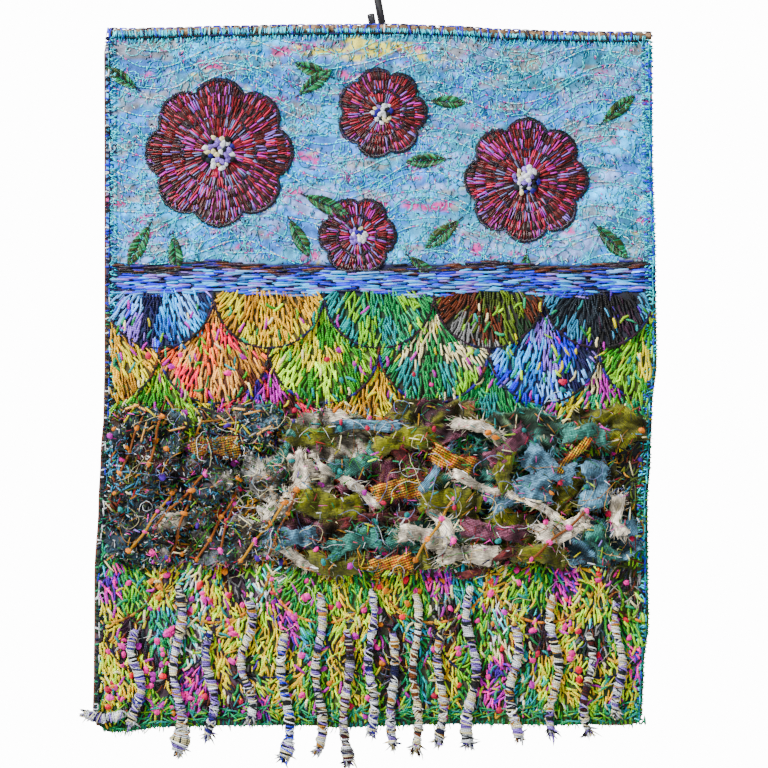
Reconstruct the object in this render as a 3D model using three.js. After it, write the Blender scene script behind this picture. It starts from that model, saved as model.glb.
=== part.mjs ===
// Textile wall hanging on a bent-rod hook.
// Millimetres, +Z up, +X to the right, the front of the cloth faces -Y.
// The origin is the inner top of the hook's upper bend, where a rail or nail carries everything.
import * as THREE from "three";
import { mergeVertices } from "three/addons/utils/BufferGeometryUtils.js";

const { degToRad, lerp, smoothstep } = THREE.MathUtils;

// Cloth sizes
const PANEL_WIDTH = 356;
const PANEL_DROP = 457;
const PANEL_CENTRE_X = -1.2;
const PANEL_THICKNESS = 3.2;
const RIM_THICKNESS = 2.2;
const BACKING_THICKNESS = 1.2;
const BINDING_HEIGHT = 5.2;
const BINDING_DEPTH = 5.6;
const BINDING_STEPS = 36;
const BINDING_SIDES = 8;
const BINDING_UNEVEN = 0.06;
const CORNER_PULL = 2.6;
const SEWN_GAP = 0.3;
const BACKING_GAP = 0.45;

// Grid of the cloth faces
const COLUMNS = 44;
const ROWS = 56;
const BACK_STEP = 4;

// Hook sizes
const ROD_DIAMETER = 5;
const LOWER_BEND = 6;
const UPPER_BEND = 8;
const HOOK_LEAN = degToRad(20.4);
const HOOK_YAW = degToRad(30.5);
const STUB_ABOVE_EDGE = 7;
const LOWER_BEND_BELOW_EDGE = 11;
const UPPER_TIP = 7;
const ROD_SIDES = 10;
const HOOK_STEPS = 56;

// Heights worked out from the hook
const SHANK = (LOWER_BEND + UPPER_BEND) / Math.tan(HOOK_LEAN);
const UPPER_CENTRE_Z = -(UPPER_BEND - ROD_DIAMETER / 2);
const BEND_DROP = (LOWER_BEND + UPPER_BEND) * Math.sin(HOOK_LEAN) + SHANK * Math.cos(HOOK_LEAN);
const LOWER_CENTRE_Z = UPPER_CENTRE_Z - BEND_DROP;
const LOWER_SEAT_Z = LOWER_CENTRE_Z - LOWER_BEND + ROD_DIAMETER / 2;
const PANEL_TOP_Z = LOWER_CENTRE_Z + LOWER_BEND_BELOW_EDGE;
const PANEL_BACK_Y = -13.8;

// Loop sizes
const LOOP_DIAMETER = 3;
const LOOP_SIDES = 8;
const LOOP_STEPS = 24;

// One leg of the loop: how far to the side, how far back from the cloth or the seat, how far down
const LOOP_LEG = [
  { side: 17, behindCloth: 0, down: 36 },
  { side: 15.5, behindCloth: 0.4, down: 25 },
  { side: 12.5, behindSeat: -6, down: 13 },
  { side: 8, behindSeat: -1.2, down: 3.6 },
  { side: 3.2, behindSeat: 0, down: 0.2 },
];

// Outline: how far each side edge strays outwards of half the width, at heights down from the top
const SIDE_EDGES = [
  { down: 0, leftOut: -1.5, rightOut: -0.5 },
  { down: 13, leftOut: 0, rightOut: 0 },
  { down: 75, leftOut: 0, rightOut: 0.5 },
  { down: 154, leftOut: 0, rightOut: 2.5 },
  { down: 216, leftOut: 0, rightOut: 3.3 },
  { down: 248, leftOut: 0.6, rightOut: 0.3 },
  { down: 279, leftOut: 2.6, rightOut: -0.7 },
  { down: 310, leftOut: 4, rightOut: -2.6 },
  { down: 357, leftOut: 6.5, rightOut: -2.4 },
  { down: 389, leftOut: 6.5, rightOut: -2 },
  { down: 420, leftOut: 6.7, rightOut: -5.2 },
  { down: 457, leftOut: 7.5, rightOut: -6.7 },
];

// Outline: how far the top edge droops and how far the hem reaches below its nominal line
const END_EDGES = [
  { across: -186, droop: 2.4, reach: 1.5 },
  { across: -174, droop: 3, reach: 4.6 },
  { across: -160, droop: 3.2, reach: 3.6 },
  { across: -143, droop: 2.6, reach: 1.4 },
  { across: -100, droop: 1.3, reach: 0.6 },
  { across: -48, droop: 0.3, reach: 0.3 },
  { across: -26, droop: 0.2, reach: 1.8 },
  { across: 8, droop: 0, reach: 0.6 },
  { across: 45, droop: 1.2, reach: -0.5 },
  { across: 84, droop: 3.4, reach: -0.3 },
  { across: 118, droop: 4.6, reach: 0 },
  { across: 150, droop: 5.2, reach: -1.1 },
  { across: 182, droop: 5.4, reach: -0.5 },
];

// Soft folds of the hanging cloth: centre, half widths and how far each comes forward
const FOLDS = [
  { across: -178, down: 0, wide: 44, tall: 50, forward: 4.2 },
  { across: 182, down: 10, wide: 40, tall: 64, forward: 3.4 },
  { across: -96, down: 210, wide: 46, tall: 120, forward: 2.2 },
  { across: 78, down: 250, wide: 52, tall: 110, forward: 2.6 },
  { across: -30, down: 400, wide: 40, tall: 90, forward: 3 },
  { across: 124, down: 452, wide: 46, tall: 60, forward: 3.6 },
  { across: -182, down: 440, wide: 50, tall: 80, forward: 4.4 },
  { across: 30, down: 120, wide: 34, tall: 60, forward: 1.4 },
];

// Raised round flowers of the quilted ground
const FLOWERS = [
  { across: -104, down: 84, radius: 48, petals: 8 },
  { across: 96, down: 102, radius: 40, petals: 8 },
  { across: 2, down: 58, radius: 29, petals: 7 },
  { across: -14, down: 138, radius: 25, petals: 6 },
];
const FLOWER_RELIEF = 4.2;
const PETAL_VALLEY = 0.35;
const QUILT_WAVE = { pitch: 26, sway: 9, swayLength: 120, relief: 1 };

// Rows of stitched scales that cover the lower cloth, each hanging over the next
const SCALE_RADIUS = 35.8;
const SCALE_START = 176;
const SCALE_RELIEF = 3;
const SCALE_CROWN = 0.2;
const SCALE_VALLEY = 0.05;
const CALM_FROM = 350;
const CALM_SHARE = 0.2;

// Puckered scraps of torn cloth: place, half sizes, turn in degrees, height and number of ruffles
const SCRAPS = [
  { across: -150, down: 266, wide: 23, tall: 14, turn: 8, height: 6, ruffles: 6 },
  { across: -91, down: 262, wide: 26, tall: 14, turn: -8, height: 6.5, ruffles: 7 },
  { across: -29, down: 267, wide: 26, tall: 14, turn: 6, height: 6.5, ruffles: 7 },
  { across: 33, down: 261, wide: 25, tall: 14, turn: -9, height: 7, ruffles: 6 },
  { across: 94, down: 268, wide: 26, tall: 14, turn: 7, height: 6.5, ruffles: 7 },
  { across: 149, down: 263, wide: 22, tall: 14, turn: -6, height: 6, ruffles: 6 },
  { across: -124, down: 300, wide: 26, tall: 15, turn: -7, height: 7, ruffles: 7 },
  { across: -61, down: 298, wide: 26, tall: 15, turn: 9, height: 7.5, ruffles: 7 },
  { across: 2, down: 301, wide: 26, tall: 15, turn: -6, height: 7, ruffles: 6 },
  { across: 64, down: 298, wide: 26, tall: 15, turn: 8, height: 7.5, ruffles: 7 },
  { across: 126, down: 301, wide: 25, tall: 15, turn: -8, height: 7, ruffles: 6 },
  { across: -154, down: 335, wide: 21, tall: 14, turn: 7, height: 6, ruffles: 6 },
  { across: -96, down: 337, wide: 26, tall: 14, turn: -6, height: 6.5, ruffles: 7 },
  { across: -34, down: 334, wide: 26, tall: 14, turn: 8, height: 6.5, ruffles: 7 },
  { across: 29, down: 338, wide: 25, tall: 14, turn: -8, height: 6.5, ruffles: 6 },
  { across: 90, down: 334, wide: 26, tall: 14, turn: 6, height: 6.5, ruffles: 7 },
  { across: 146, down: 338, wide: 21, tall: 14, turn: -7, height: 6, ruffles: 6 },
];
const SCRAP_SECTORS = 18;
const SCRAP_RINGS = [0.36, 0.7, 1];
const SCRAP_EDGE = 2.4;
const SCRAP_MARGIN = 10;
const SCRAP_FADE = 0.15;
const SCRAP_GAP = 0.5;
const SCRAP_TEAR = [{ waves: 3, share: 0.12 }, { waves: 5, share: 0.06 }];

// Wrapped cords over the hem: place, rise above the hem, tail below it, sway, size and end
const CORDS = [
  { across: -158, rise: 66, tail: -6, sway: -3.5, turns: 1.2, diameter: 6.4, end: 1.1 },
  { across: -131, rise: 92, tail: 15.5, sway: 3, turns: 1.5, diameter: 6.8, end: 1.9 },
  { across: -110, rise: 62, tail: 5.5, sway: -3, turns: 1.1, diameter: 6.4, end: 1.1 },
  { across: -86, rise: 84, tail: -5, sway: 4, turns: 1.4, diameter: 6, end: 1 },
  { across: -61, rise: 60, tail: 20, sway: -3, turns: 1, diameter: 6.6, end: 1.5 },
  { across: -39, rise: 88, tail: 15, sway: 2.4, turns: 1.5, diameter: 6.2, end: 1.2 },
  { across: -21, rise: 64, tail: 21, sway: 2.2, turns: 1.1, diameter: 6.4, end: 1.4 },
  { across: -5, rise: 90, tail: 3, sway: 2, turns: 1.5, diameter: 6, end: 1.1 },
  { across: 9, rise: 62, tail: 11.5, sway: 1.6, turns: 1, diameter: 6.2, end: 1.3 },
  { across: 24, rise: 86, tail: 14, sway: 2, turns: 1.5, diameter: 5.8, end: 1.1 },
  { across: 40, rise: 60, tail: 10, sway: -2, turns: 1.1, diameter: 6.2, end: 1.2 },
  { across: 60, rise: 90, tail: 11.5, sway: -3.4, turns: 1.4, diameter: 6.6, end: 1.4 },
  { across: 88, rise: 66, tail: 7.5, sway: 3.2, turns: 1.2, diameter: 6.4, end: 1.3 },
  { across: 114, rise: 86, tail: 4, sway: -3, turns: 1.4, diameter: 6, end: 1.1 },
  { across: 136, rise: 60, tail: 4.5, sway: 3, turns: 1, diameter: 5.6, end: 0.9 },
  { across: 156, rise: 82, tail: -7, sway: -2.6, turns: 1.3, diameter: 6, end: 1 },
];
const CORD_SIDES = 6;
const CORD_STEP = 7.5;
const CORD_LUMP = 0.12;
const CORD_GAP = 0.35;
const CORD_TAPER = { share: 0.12, thin: 0.7 };
const CORD_KNOB = { share: 0.93, width: 0.06 };

// A short cord end that sticks out past the lower left edge
const SIDE_CORD = { inner: -166, outer: -191, down: 449, dip: 3, diameter: 6.6, steps: 6, thin: 0.75 };

const cloth = (color, roughness = 0.95) => new THREE.MeshStandardMaterial({ color, roughness, metalness: 0 });

const MATERIALS = {
  panel: cloth(0x5aa7b5),
  backing: cloth(0x6b4a34),
  binding: cloth(0xb59a72),
  loop: cloth(0x5e4636),
  cord: cloth(0xc9c0c8),
  rod: new THREE.MeshStandardMaterial({ color: 0x0b0b0c, roughness: 0.3, metalness: 0.6 }),
  scraps: [cloth(0x6f7431), cloth(0x6c8ba0), cloth(0x8f8d8c), cloth(0x7b5568), cloth(0x2f8f8a)],
};

// Reading of a table column between its rows, eased so that no kink shows at a row
function readTable(table, key, place, column) {
  const last = table.length - 1;
  if (place <= table[0][key]) return table[0][column];
  if (place >= table[last][key]) return table[last][column];
  const next = table.findIndex((row) => row[key] > place);
  const before = table[next - 1];
  const after = table[next];
  const share = (place - before[key]) / (after[key] - before[key]);
  const eased = share * share * (3 - 2 * share);
  return lerp(before[column], after[column], eased);
}

const leftEdge = (down) => -PANEL_WIDTH / 2 - readTable(SIDE_EDGES, "down", down, "leftOut");
const rightEdge = (down) => PANEL_WIDTH / 2 + readTable(SIDE_EDGES, "down", down, "rightOut");
const topDroop = (across) => readTable(END_EDGES, "across", across, "droop");
const hemDown = (across) => PANEL_DROP + readTable(END_EDGES, "across", across, "reach");
const bump = (offset, width) => Math.exp(-((offset / width) ** 2));

// How far the hanging cloth comes forward of its back plane
function foldDepth(across, down) {
  let depth = 0;
  for (const fold of FOLDS) {
    depth += fold.forward * bump(across - fold.across, fold.wide) * bump(down - fold.down, fold.tall);
  }
  return depth;
}

function flowerRelief(across, down) {
  let height = 0;
  for (const flower of FLOWERS) {
    const x = across - flower.across;
    const y = down - flower.down;
    const reach = Math.hypot(x, y) / flower.radius;
    if (reach >= 1) continue;
    const lobe = 0.5 + 0.5 * Math.cos(flower.petals * Math.atan2(y, x));
    const petal = lerp(PETAL_VALLEY, 1, lobe);
    height = Math.max(height, FLOWER_RELIEF * petal * Math.sqrt(1 - reach ** 6));
  }
  return height;
}

function quiltRelief(across, down) {
  const sway = QUILT_WAVE.sway * Math.sin((2 * Math.PI * across) / QUILT_WAVE.swayLength);
  return QUILT_WAVE.relief * Math.abs(Math.sin((Math.PI * (down + sway)) / QUILT_WAVE.pitch));
}

// Each scale is a half disc under its own centre line, hanging over the row below it
function scaleRelief(across, down) {
  const row = Math.floor((down - SCALE_START) / SCALE_RADIUS);
  const rowDown = down - SCALE_START - row * SCALE_RADIUS;
  const shift = row % 2 === 0 ? 0 : SCALE_RADIUS;
  const column = Math.round((across - shift) / (2 * SCALE_RADIUS));
  const reach = Math.hypot(across - shift - column * 2 * SCALE_RADIUS, rowDown) / SCALE_RADIUS;
  const share = reach < 1 ? lerp(SCALE_CROWN, 1, reach ** 2) : SCALE_VALLEY;
  const calm = smoothstep(down, CALM_FROM - SCALE_RADIUS, CALM_FROM);
  return SCALE_RELIEF * share * lerp(1, CALM_SHARE, calm);
}

// One where a scrap is sewn down, none away from it
function scrapCover(across, down) {
  let cover = 0;
  for (const scrap of SCRAPS) {
    const turn = degToRad(scrap.turn);
    const x = across - scrap.across;
    const y = down - scrap.down;
    const along = x * Math.cos(turn) + y * Math.sin(turn);
    const aside = -x * Math.sin(turn) + y * Math.cos(turn);
    const reach = Math.hypot(along / (scrap.wide + SCRAP_MARGIN), aside / (scrap.tall + SCRAP_MARGIN));
    cover = Math.max(cover, 1 - smoothstep(reach, 1, 1 + SCRAP_FADE));
  }
  return cover;
}

function relief(across, down) {
  if (down < SCALE_START) return Math.max(flowerRelief(across, down), quiltRelief(across, down));
  return scaleRelief(across, down) * (1 - scrapCover(across, down));
}

// Place of the cloth's plain back, before any relief
const backY = (across, down) => PANEL_BACK_Y - foldDepth(across, down);
const toX = (across) => PANEL_CENTRE_X + across;
const toZ = (down) => PANEL_TOP_Z - down;

// Place of a grid point in the plane of the cloth, pulled in at the four corners
function gridPlace(i, j, grow = () => 0) {
  const down0 = (j / ROWS) * PANEL_DROP;
  const across = lerp(leftEdge(down0), rightEdge(down0), i / COLUMNS);
  const top = topDroop(across) + BINDING_HEIGHT + SEWN_GAP;
  const down = lerp(top, hemDown(across), j / ROWS);
  const atSide = i === 0 || i === COLUMNS;
  const atEnd = j === 0 || j === ROWS;
  const inward = atSide && atEnd ? CORNER_PULL : 0;
  const outX = i === 0 ? -1 : i === COLUMNS ? 1 : 0;
  const outDown = j === ROWS ? 1 : 0;
  const more = atSide || j === ROWS ? grow(across, down) : 0;
  return {
    across: across + outX * (more - inward),
    down: down + outDown * (more - inward),
  };
}

const facePoint = (place, y) => new THREE.Vector3(toX(place.across), y, toZ(place.down));

function panelFront(i, j) {
  const place = gridPlace(i, j);
  const atRim = i === 0 || i === COLUMNS || j === 0 || j === ROWS;
  const thickness = atRim ? RIM_THICKNESS : PANEL_THICKNESS + relief(place.across, place.down);
  return facePoint(place, backY(place.across, place.down) - thickness);
}

function panelBack(i, j) {
  const place = gridPlace(i, j);
  return facePoint(place, backY(place.across, place.down));
}

// How far the backing shows past the cloth: a little on the left and at the lower right
function backingShows(across, down) {
  if (across < 0) return down > PANEL_DROP ? -1.5 : 1.4;
  const lowerRight = smoothstep(down, 440, 452) * smoothstep(across, 120, 150);
  return lerp(-1.5, 1.6, lowerRight);
}

function backingPoint(i, j, behind) {
  const plain = gridPlace(i, j);
  const place = gridPlace(i, j, backingShows);
  return facePoint(place, backY(plain.across, plain.down) + BACKING_GAP + behind);
}

// A face of the sheet as triangles: fine cells, or coarse ones that still meet every rim point
function faceTriangles(index, step, facesBack) {
  const triangles = [];
  const add = (a, b, c) => triangles.push(...(facesBack ? [a, b, c] : [a, c, b]));
  for (let j = 0; j < ROWS; j += step) {
    for (let i = 0; i < COLUMNS; i += step) {
      const ring = [];
      const walk = (i0, j0, di, dj, onRim) => {
        const stride = onRim ? 1 : step;
        for (let k = 0; k < step; k += stride) ring.push(index(i0 + di * k, j0 + dj * k));
      };
      walk(i, j, 1, 0, j === 0);
      walk(i + step, j, 0, 1, i + step === COLUMNS);
      walk(i + step, j + step, -1, 0, j + step === ROWS);
      walk(i, j + step, 0, -1, i === 0);
      const mirrored = step === 1 && (i + j) % 2 === 1;
      const apexI = mirrored || i + step === COLUMNS ? i : i + step;
      const apexJ = j + step === ROWS ? j : j + step;
      const apex = index(apexI, apexJ);
      ring.forEach((from, k) => {
        const to = ring[(k + 1) % ring.length];
        if (from !== apex && to !== apex) add(apex, from, to);
      });
    }
  }
  return triangles;
}

function solid(points, triangles) {
  const geometry = new THREE.BufferGeometry().setFromPoints(points);
  geometry.setIndex(triangles);
  return geometry;
}

// A closed sheet between a front and a back that share the same rim places
function sheetGeometry(frontPoint, backPoint, frontStep, backStep) {
  const points = [];
  const index = [new Map(), new Map()];
  const needed = (i, j, step) =>
    (i % step === 0 && j % step === 0) || i === 0 || j === 0 || i === COLUMNS || j === ROWS;
  const keyOf = (i, j) => j * (COLUMNS + 1) + i;
  [[frontPoint, frontStep], [backPoint, backStep]].forEach(([pointAt, step], side) => {
    for (let j = 0; j <= ROWS; j++) {
      for (let i = 0; i <= COLUMNS; i++) {
        if (!needed(i, j, step)) continue;
        index[side].set(keyOf(i, j), points.length);
        points.push(pointAt(i, j));
      }
    }
  });
  const front = (i, j) => index[0].get(keyOf(i, j));
  const back = (i, j) => index[1].get(keyOf(i, j));
  const triangles = [...faceTriangles(front, frontStep, false), ...faceTriangles(back, backStep, true)];
  const wall = (a, b) => {
    triangles.push(front(...a), front(...b), back(...b));
    triangles.push(front(...a), back(...b), back(...a));
  };
  for (let i = 0; i < COLUMNS; i++) {
    wall([i, 0], [i + 1, 0]);
    wall([i + 1, ROWS], [i, ROWS]);
  }
  for (let j = 0; j < ROWS; j++) {
    wall([0, j + 1], [0, j]);
    wall([COLUMNS, j], [COLUMNS, j + 1]);
  }
  return solid(points, triangles);
}

// A closed round body through rings of points, each ring the same way round
function loft(rings) {
  const sides = rings[0].length;
  const points = rings.flat();
  const triangles = [];
  for (let r = 0; r + 1 < rings.length; r++) {
    for (let k = 0; k < sides; k++) {
      const a = r * sides + k;
      const b = r * sides + ((k + 1) % sides);
      triangles.push(a, b, b + sides, a, b + sides, a + sides);
    }
  }
  const lastRing = (rings.length - 1) * sides;
  for (let k = 1; k + 1 < sides; k++) {
    triangles.push(0, k + 1, k);
    triangles.push(lastRing, lastRing + k, lastRing + k + 1);
  }
  return solid(points, triangles);
}

// A tube whose thickness changes along its path
function tubeGeometry(path, radiusAt, sides) {
  const curve = new THREE.CatmullRomCurve3(path);
  const steps = path.length - 1;
  const frames = curve.computeFrenetFrames(steps);
  const rings = [];
  for (let s = 0; s <= steps; s++) {
    const centre = curve.getPointAt(s / steps);
    const ring = [];
    for (let k = 0; k < sides; k++) {
      const angle = (2 * Math.PI * k) / sides;
      const radius = radiusAt(s / steps, angle);
      ring.push(
        centre
          .clone()
          .addScaledVector(frames.normals[s], radius * Math.cos(angle))
          .addScaledVector(frames.binormals[s], radius * Math.sin(angle)),
      );
    }
    rings.push(ring);
  }
  return loft(rings);
}

function roundSection(radius, sides) {
  const shape = new THREE.Shape();
  for (let k = 0; k < sides; k++) {
    const angle = (2 * Math.PI * k) / sides;
    if (k === 0) shape.moveTo(radius, 0);
    else shape.lineTo(radius * Math.cos(angle), radius * Math.sin(angle));
  }
  return shape;
}

// A rod of even thickness bent along a curve
function rodGeometry(curve, diameter, sides, steps) {
  return new THREE.ExtrudeGeometry(roundSection(diameter / 2, sides), { steps, extrudePath: curve });
}

// The hook's centre line, in its own plane: the shank runs up, the bends go opposite ways
class HookLine extends THREE.Curve {
  constructor(stub) {
    super();
    this.pieces = [
      { length: stub, at: (s) => [-2 * LOWER_BEND, stub - s] },
      { length: Math.PI * LOWER_BEND, at: (s) => this.lowerBend(s / LOWER_BEND - Math.PI) },
      { length: SHANK, at: (s) => [0, s] },
      { length: Math.PI * UPPER_BEND, at: (s) => this.upperBend(Math.PI - s / UPPER_BEND) },
      { length: UPPER_TIP, at: (s) => [2 * UPPER_BEND, SHANK - s] },
    ];
    this.total = this.pieces.reduce((sum, piece) => sum + piece.length, 0);
  }

  lowerBend(angle) {
    return [LOWER_BEND * (Math.cos(angle) - 1), LOWER_BEND * Math.sin(angle)];
  }

  upperBend(angle) {
    return [UPPER_BEND * (Math.cos(angle) + 1), SHANK + UPPER_BEND * Math.sin(angle)];
  }

  getPoint(share, target = new THREE.Vector3()) {
    let left = share * this.total;
    let piece = this.pieces[0];
    for (piece of this.pieces) {
      if (left <= piece.length) break;
      left -= piece.length;
    }
    const [across, up] = piece.at(Math.min(left, piece.length));
    const level = across * Math.cos(HOOK_LEAN) - up * Math.sin(HOOK_LEAN) + LOWER_BEND * Math.cos(HOOK_LEAN);
    const height = across * Math.sin(HOOK_LEAN) + up * Math.cos(HOOK_LEAN) + LOWER_BEND * Math.sin(HOOK_LEAN);
    return target.set(
      level * Math.sin(HOOK_YAW),
      level * Math.cos(HOOK_YAW),
      LOWER_CENTRE_Z + height,
    );
  }
}

function hookGeometry() {
  const rise = LOWER_BEND_BELOW_EDGE + STUB_ABOVE_EDGE;
  const stub = (rise + LOWER_BEND * Math.sin(HOOK_LEAN)) / Math.cos(HOOK_LEAN);
  return rodGeometry(new HookLine(stub), ROD_DIAMETER, ROD_SIDES, HOOK_STEPS);
}

// The loop lies in the hook's lower bend and its two legs run down the back of the cloth
function loopGeometry() {
  const backFace = PANEL_BACK_Y + BACKING_GAP + BACKING_THICKNESS + SEWN_GAP + LOOP_DIAMETER / 2;
  const seat = LOWER_SEAT_Z + SEWN_GAP + LOOP_DIAMETER / 2;
  const depth = (row) => ("behindCloth" in row ? backFace + row.behindCloth : row.behindSeat);
  const half = (way) => LOOP_LEG.map((row) => new THREE.Vector3(way * row.side, depth(row), seat - row.down));
  const path = new THREE.CatmullRomCurve3([...half(-1), new THREE.Vector3(0, 0, seat), ...half(1).reverse()]);
  return rodGeometry(path, LOOP_DIAMETER, LOOP_SIDES, LOOP_STEPS);
}

// A rolled strip of cloth along the top edge, uneven like hand-rolled cloth
function bindingGeometry() {
  const rings = [];
  for (let s = 0; s <= BINDING_STEPS; s++) {
    const across = lerp(leftEdge(0), rightEdge(0), s / BINDING_STEPS);
    const centre = topDroop(across) + BINDING_HEIGHT / 2;
    const middleY = backY(across, centre) - PANEL_THICKNESS / 2;
    const ring = [];
    for (let k = 0; k < BINDING_SIDES; k++) {
      const angle = (2 * Math.PI * k) / BINDING_SIDES;
      const uneven = 1 - BINDING_UNEVEN * (1 + Math.sin(2.3 * s + k));
      const out = (BINDING_DEPTH / 2) * uneven * Math.cos(angle);
      const up = (BINDING_HEIGHT / 2) * uneven * Math.sin(angle);
      ring.push(new THREE.Vector3(toX(across), middleY - out, toZ(centre) + up));
    }
    rings.push(ring);
  }
  return loft(rings.map((ring) => ring.reverse()));
}

// Foremost place of the cloth's front around a point
function frontY(across, down, reach) {
  let foremost = Infinity;
  for (const stepX of [-reach, 0, reach]) {
    for (const stepDown of [-reach, 0, reach]) {
      const x = across + stepX;
      const y = Math.min(down + stepDown, PANEL_DROP);
      foremost = Math.min(foremost, backY(x, y) - PANEL_THICKNESS - relief(x, y));
    }
  }
  return foremost;
}

function cordGeometry(cord) {
  const length = cord.rise + cord.tail;
  const steps = Math.round(length / CORD_STEP);
  const hem = hemDown(cord.across);
  const path = [];
  for (let s = 0; s <= steps; s++) {
    const share = s / steps;
    const down = hem - cord.rise + share * length;
    const across = cord.across + cord.sway * Math.sin(2 * Math.PI * cord.turns * share);
    const y = frontY(across, down, cord.diameter) - CORD_GAP - (cord.diameter / 2) * (1 + CORD_LUMP);
    path.push(new THREE.Vector3(toX(across), y, toZ(down)));
  }
  const radiusAt = (share, angle) => {
    const lump = 1 + CORD_LUMP * Math.sin(9 * Math.PI * share + angle);
    const start = lerp(CORD_TAPER.thin, 1, smoothstep(share, 0, CORD_TAPER.share));
    const knob = cord.tail > 0 ? 1 + (cord.end - 1) * bump(share - CORD_KNOB.share, CORD_KNOB.width) : 1;
    return (cord.diameter / 2) * lump * start * knob;
  };
  return tubeGeometry(path, radiusAt, CORD_SIDES);
}

function sideCordGeometry() {
  const path = [];
  for (let s = 0; s <= SIDE_CORD.steps; s++) {
    const share = s / SIDE_CORD.steps;
    const across = lerp(SIDE_CORD.inner, SIDE_CORD.outer, share);
    const down = SIDE_CORD.down + SIDE_CORD.dip * Math.sin(Math.PI * share);
    const rest = frontY(Math.max(across, leftEdge(down)), down, SIDE_CORD.diameter);
    const y = rest - CORD_GAP - SIDE_CORD.diameter / 2;
    path.push(new THREE.Vector3(toX(across), y, toZ(down)));
  }
  const radiusAt = (share) => (SIDE_CORD.diameter / 2) * lerp(SIDE_CORD.thin, 1, Math.sin(Math.PI * share));
  return tubeGeometry(path, radiusAt, CORD_SIDES);
}

// A torn scrap, gathered so that ruffles stand up between a sunk middle and a loose edge
function scrapGeometry(scrap) {
  const turn = degToRad(scrap.turn);
  const placeAt = (share, angle) => {
    let torn = 1;
    for (const tear of SCRAP_TEAR) torn += tear.share * Math.sin(tear.waves * angle + scrap.across);
    const along = scrap.wide * share * torn * Math.cos(angle);
    const aside = scrap.tall * share * torn * Math.sin(angle);
    return {
      across: scrap.across + along * Math.cos(turn) - aside * Math.sin(turn),
      down: scrap.down + along * Math.sin(turn) + aside * Math.cos(turn),
    };
  };
  const under = (place) => backY(place.across, place.down) - PANEL_THICKNESS - SCRAP_GAP;
  const heightAt = (share, angle) => {
    const ruffle = 0.5 + 0.5 * Math.cos(scrap.ruffles * angle + scrap.down);
    const crown = Math.sin(Math.PI * Math.min(share, 0.92));
    return SCRAP_EDGE + (scrap.height - SCRAP_EDGE) * (0.35 * crown + 0.65 * ruffle * (0.3 + 0.7 * crown));
  };
  const points = [];
  const middle = placeAt(0, 0);
  points.push(facePoint(middle, under(middle) - scrap.height * 0.55), facePoint(middle, under(middle)));
  for (const share of SCRAP_RINGS) {
    for (let k = 0; k < SCRAP_SECTORS; k++) {
      const angle = (2 * Math.PI * k) / SCRAP_SECTORS;
      const place = placeAt(share, angle);
      const bottom = under(place);
      points.push(facePoint(place, bottom - heightAt(share, angle)), facePoint(place, bottom));
    }
  }
  const at = (ring, k, side) => 2 + 2 * (ring * SCRAP_SECTORS + (k % SCRAP_SECTORS)) + side;
  const triangles = [];
  for (let k = 0; k < SCRAP_SECTORS; k++) {
    triangles.push(0, at(0, k + 1, 0), at(0, k, 0));
    triangles.push(1, at(0, k, 1), at(0, k + 1, 1));
    for (let ring = 0; ring + 1 < SCRAP_RINGS.length; ring++) {
      for (const [side, next, after] of [[0, 1, 0], [1, 0, 1]]) {
        const corner = at(ring, k, side);
        const opposite = at(ring + 1, k + 1, side);
        triangles.push(corner, at(ring + after, k + next, side), opposite);
        triangles.push(corner, opposite, at(ring + next, k + after, side));
      }
    }
    const rim = SCRAP_RINGS.length - 1;
    triangles.push(at(rim, k, 0), at(rim, k + 1, 1), at(rim, k, 1));
    triangles.push(at(rim, k, 0), at(rim, k + 1, 0), at(rim, k + 1, 1));
  }
  return solid(points, triangles);
}

function closed(geometry) {
  geometry.deleteAttribute("normal");
  geometry.deleteAttribute("uv");
  return mergeVertices(geometry, 1e-4);
}

function mesh(name, geometry, material) {
  const body = new THREE.Mesh(closed(geometry), material);
  body.geometry.computeVertexNormals();
  body.name = name;
  return body;
}

const numbered = (word, k) => `${word}_${String(k + 1).padStart(2, "0")}`;

const wallHanging = new THREE.Group();
wallHanging.add(mesh("panel", sheetGeometry(panelFront, panelBack, 1, BACK_STEP), MATERIALS.panel));
wallHanging.add(
  mesh(
    "backing",
    sheetGeometry(
      (i, j) => backingPoint(i, j, 0),
      (i, j) => backingPoint(i, j, BACKING_THICKNESS),
      BACK_STEP,
      BACK_STEP,
    ),
    MATERIALS.backing,
  ),
);
wallHanging.add(mesh("top_binding", bindingGeometry(), MATERIALS.binding));
wallHanging.add(mesh("hanging_loop", loopGeometry(), MATERIALS.loop));
wallHanging.add(mesh("hook", hookGeometry(), MATERIALS.rod));
CORDS.forEach((cord, k) => {
  wallHanging.add(mesh(numbered("wrapped_cord", k), cordGeometry(cord), MATERIALS.cord));
});
wallHanging.add(mesh("side_cord", sideCordGeometry(), MATERIALS.cord));
SCRAPS.forEach((scrap, k) => {
  const material = MATERIALS.scraps[k % MATERIALS.scraps.length];
  wallHanging.add(mesh(numbered("scrap", k), scrapGeometry(scrap), material));
});

export default wallHanging;
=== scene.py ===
import math

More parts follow.
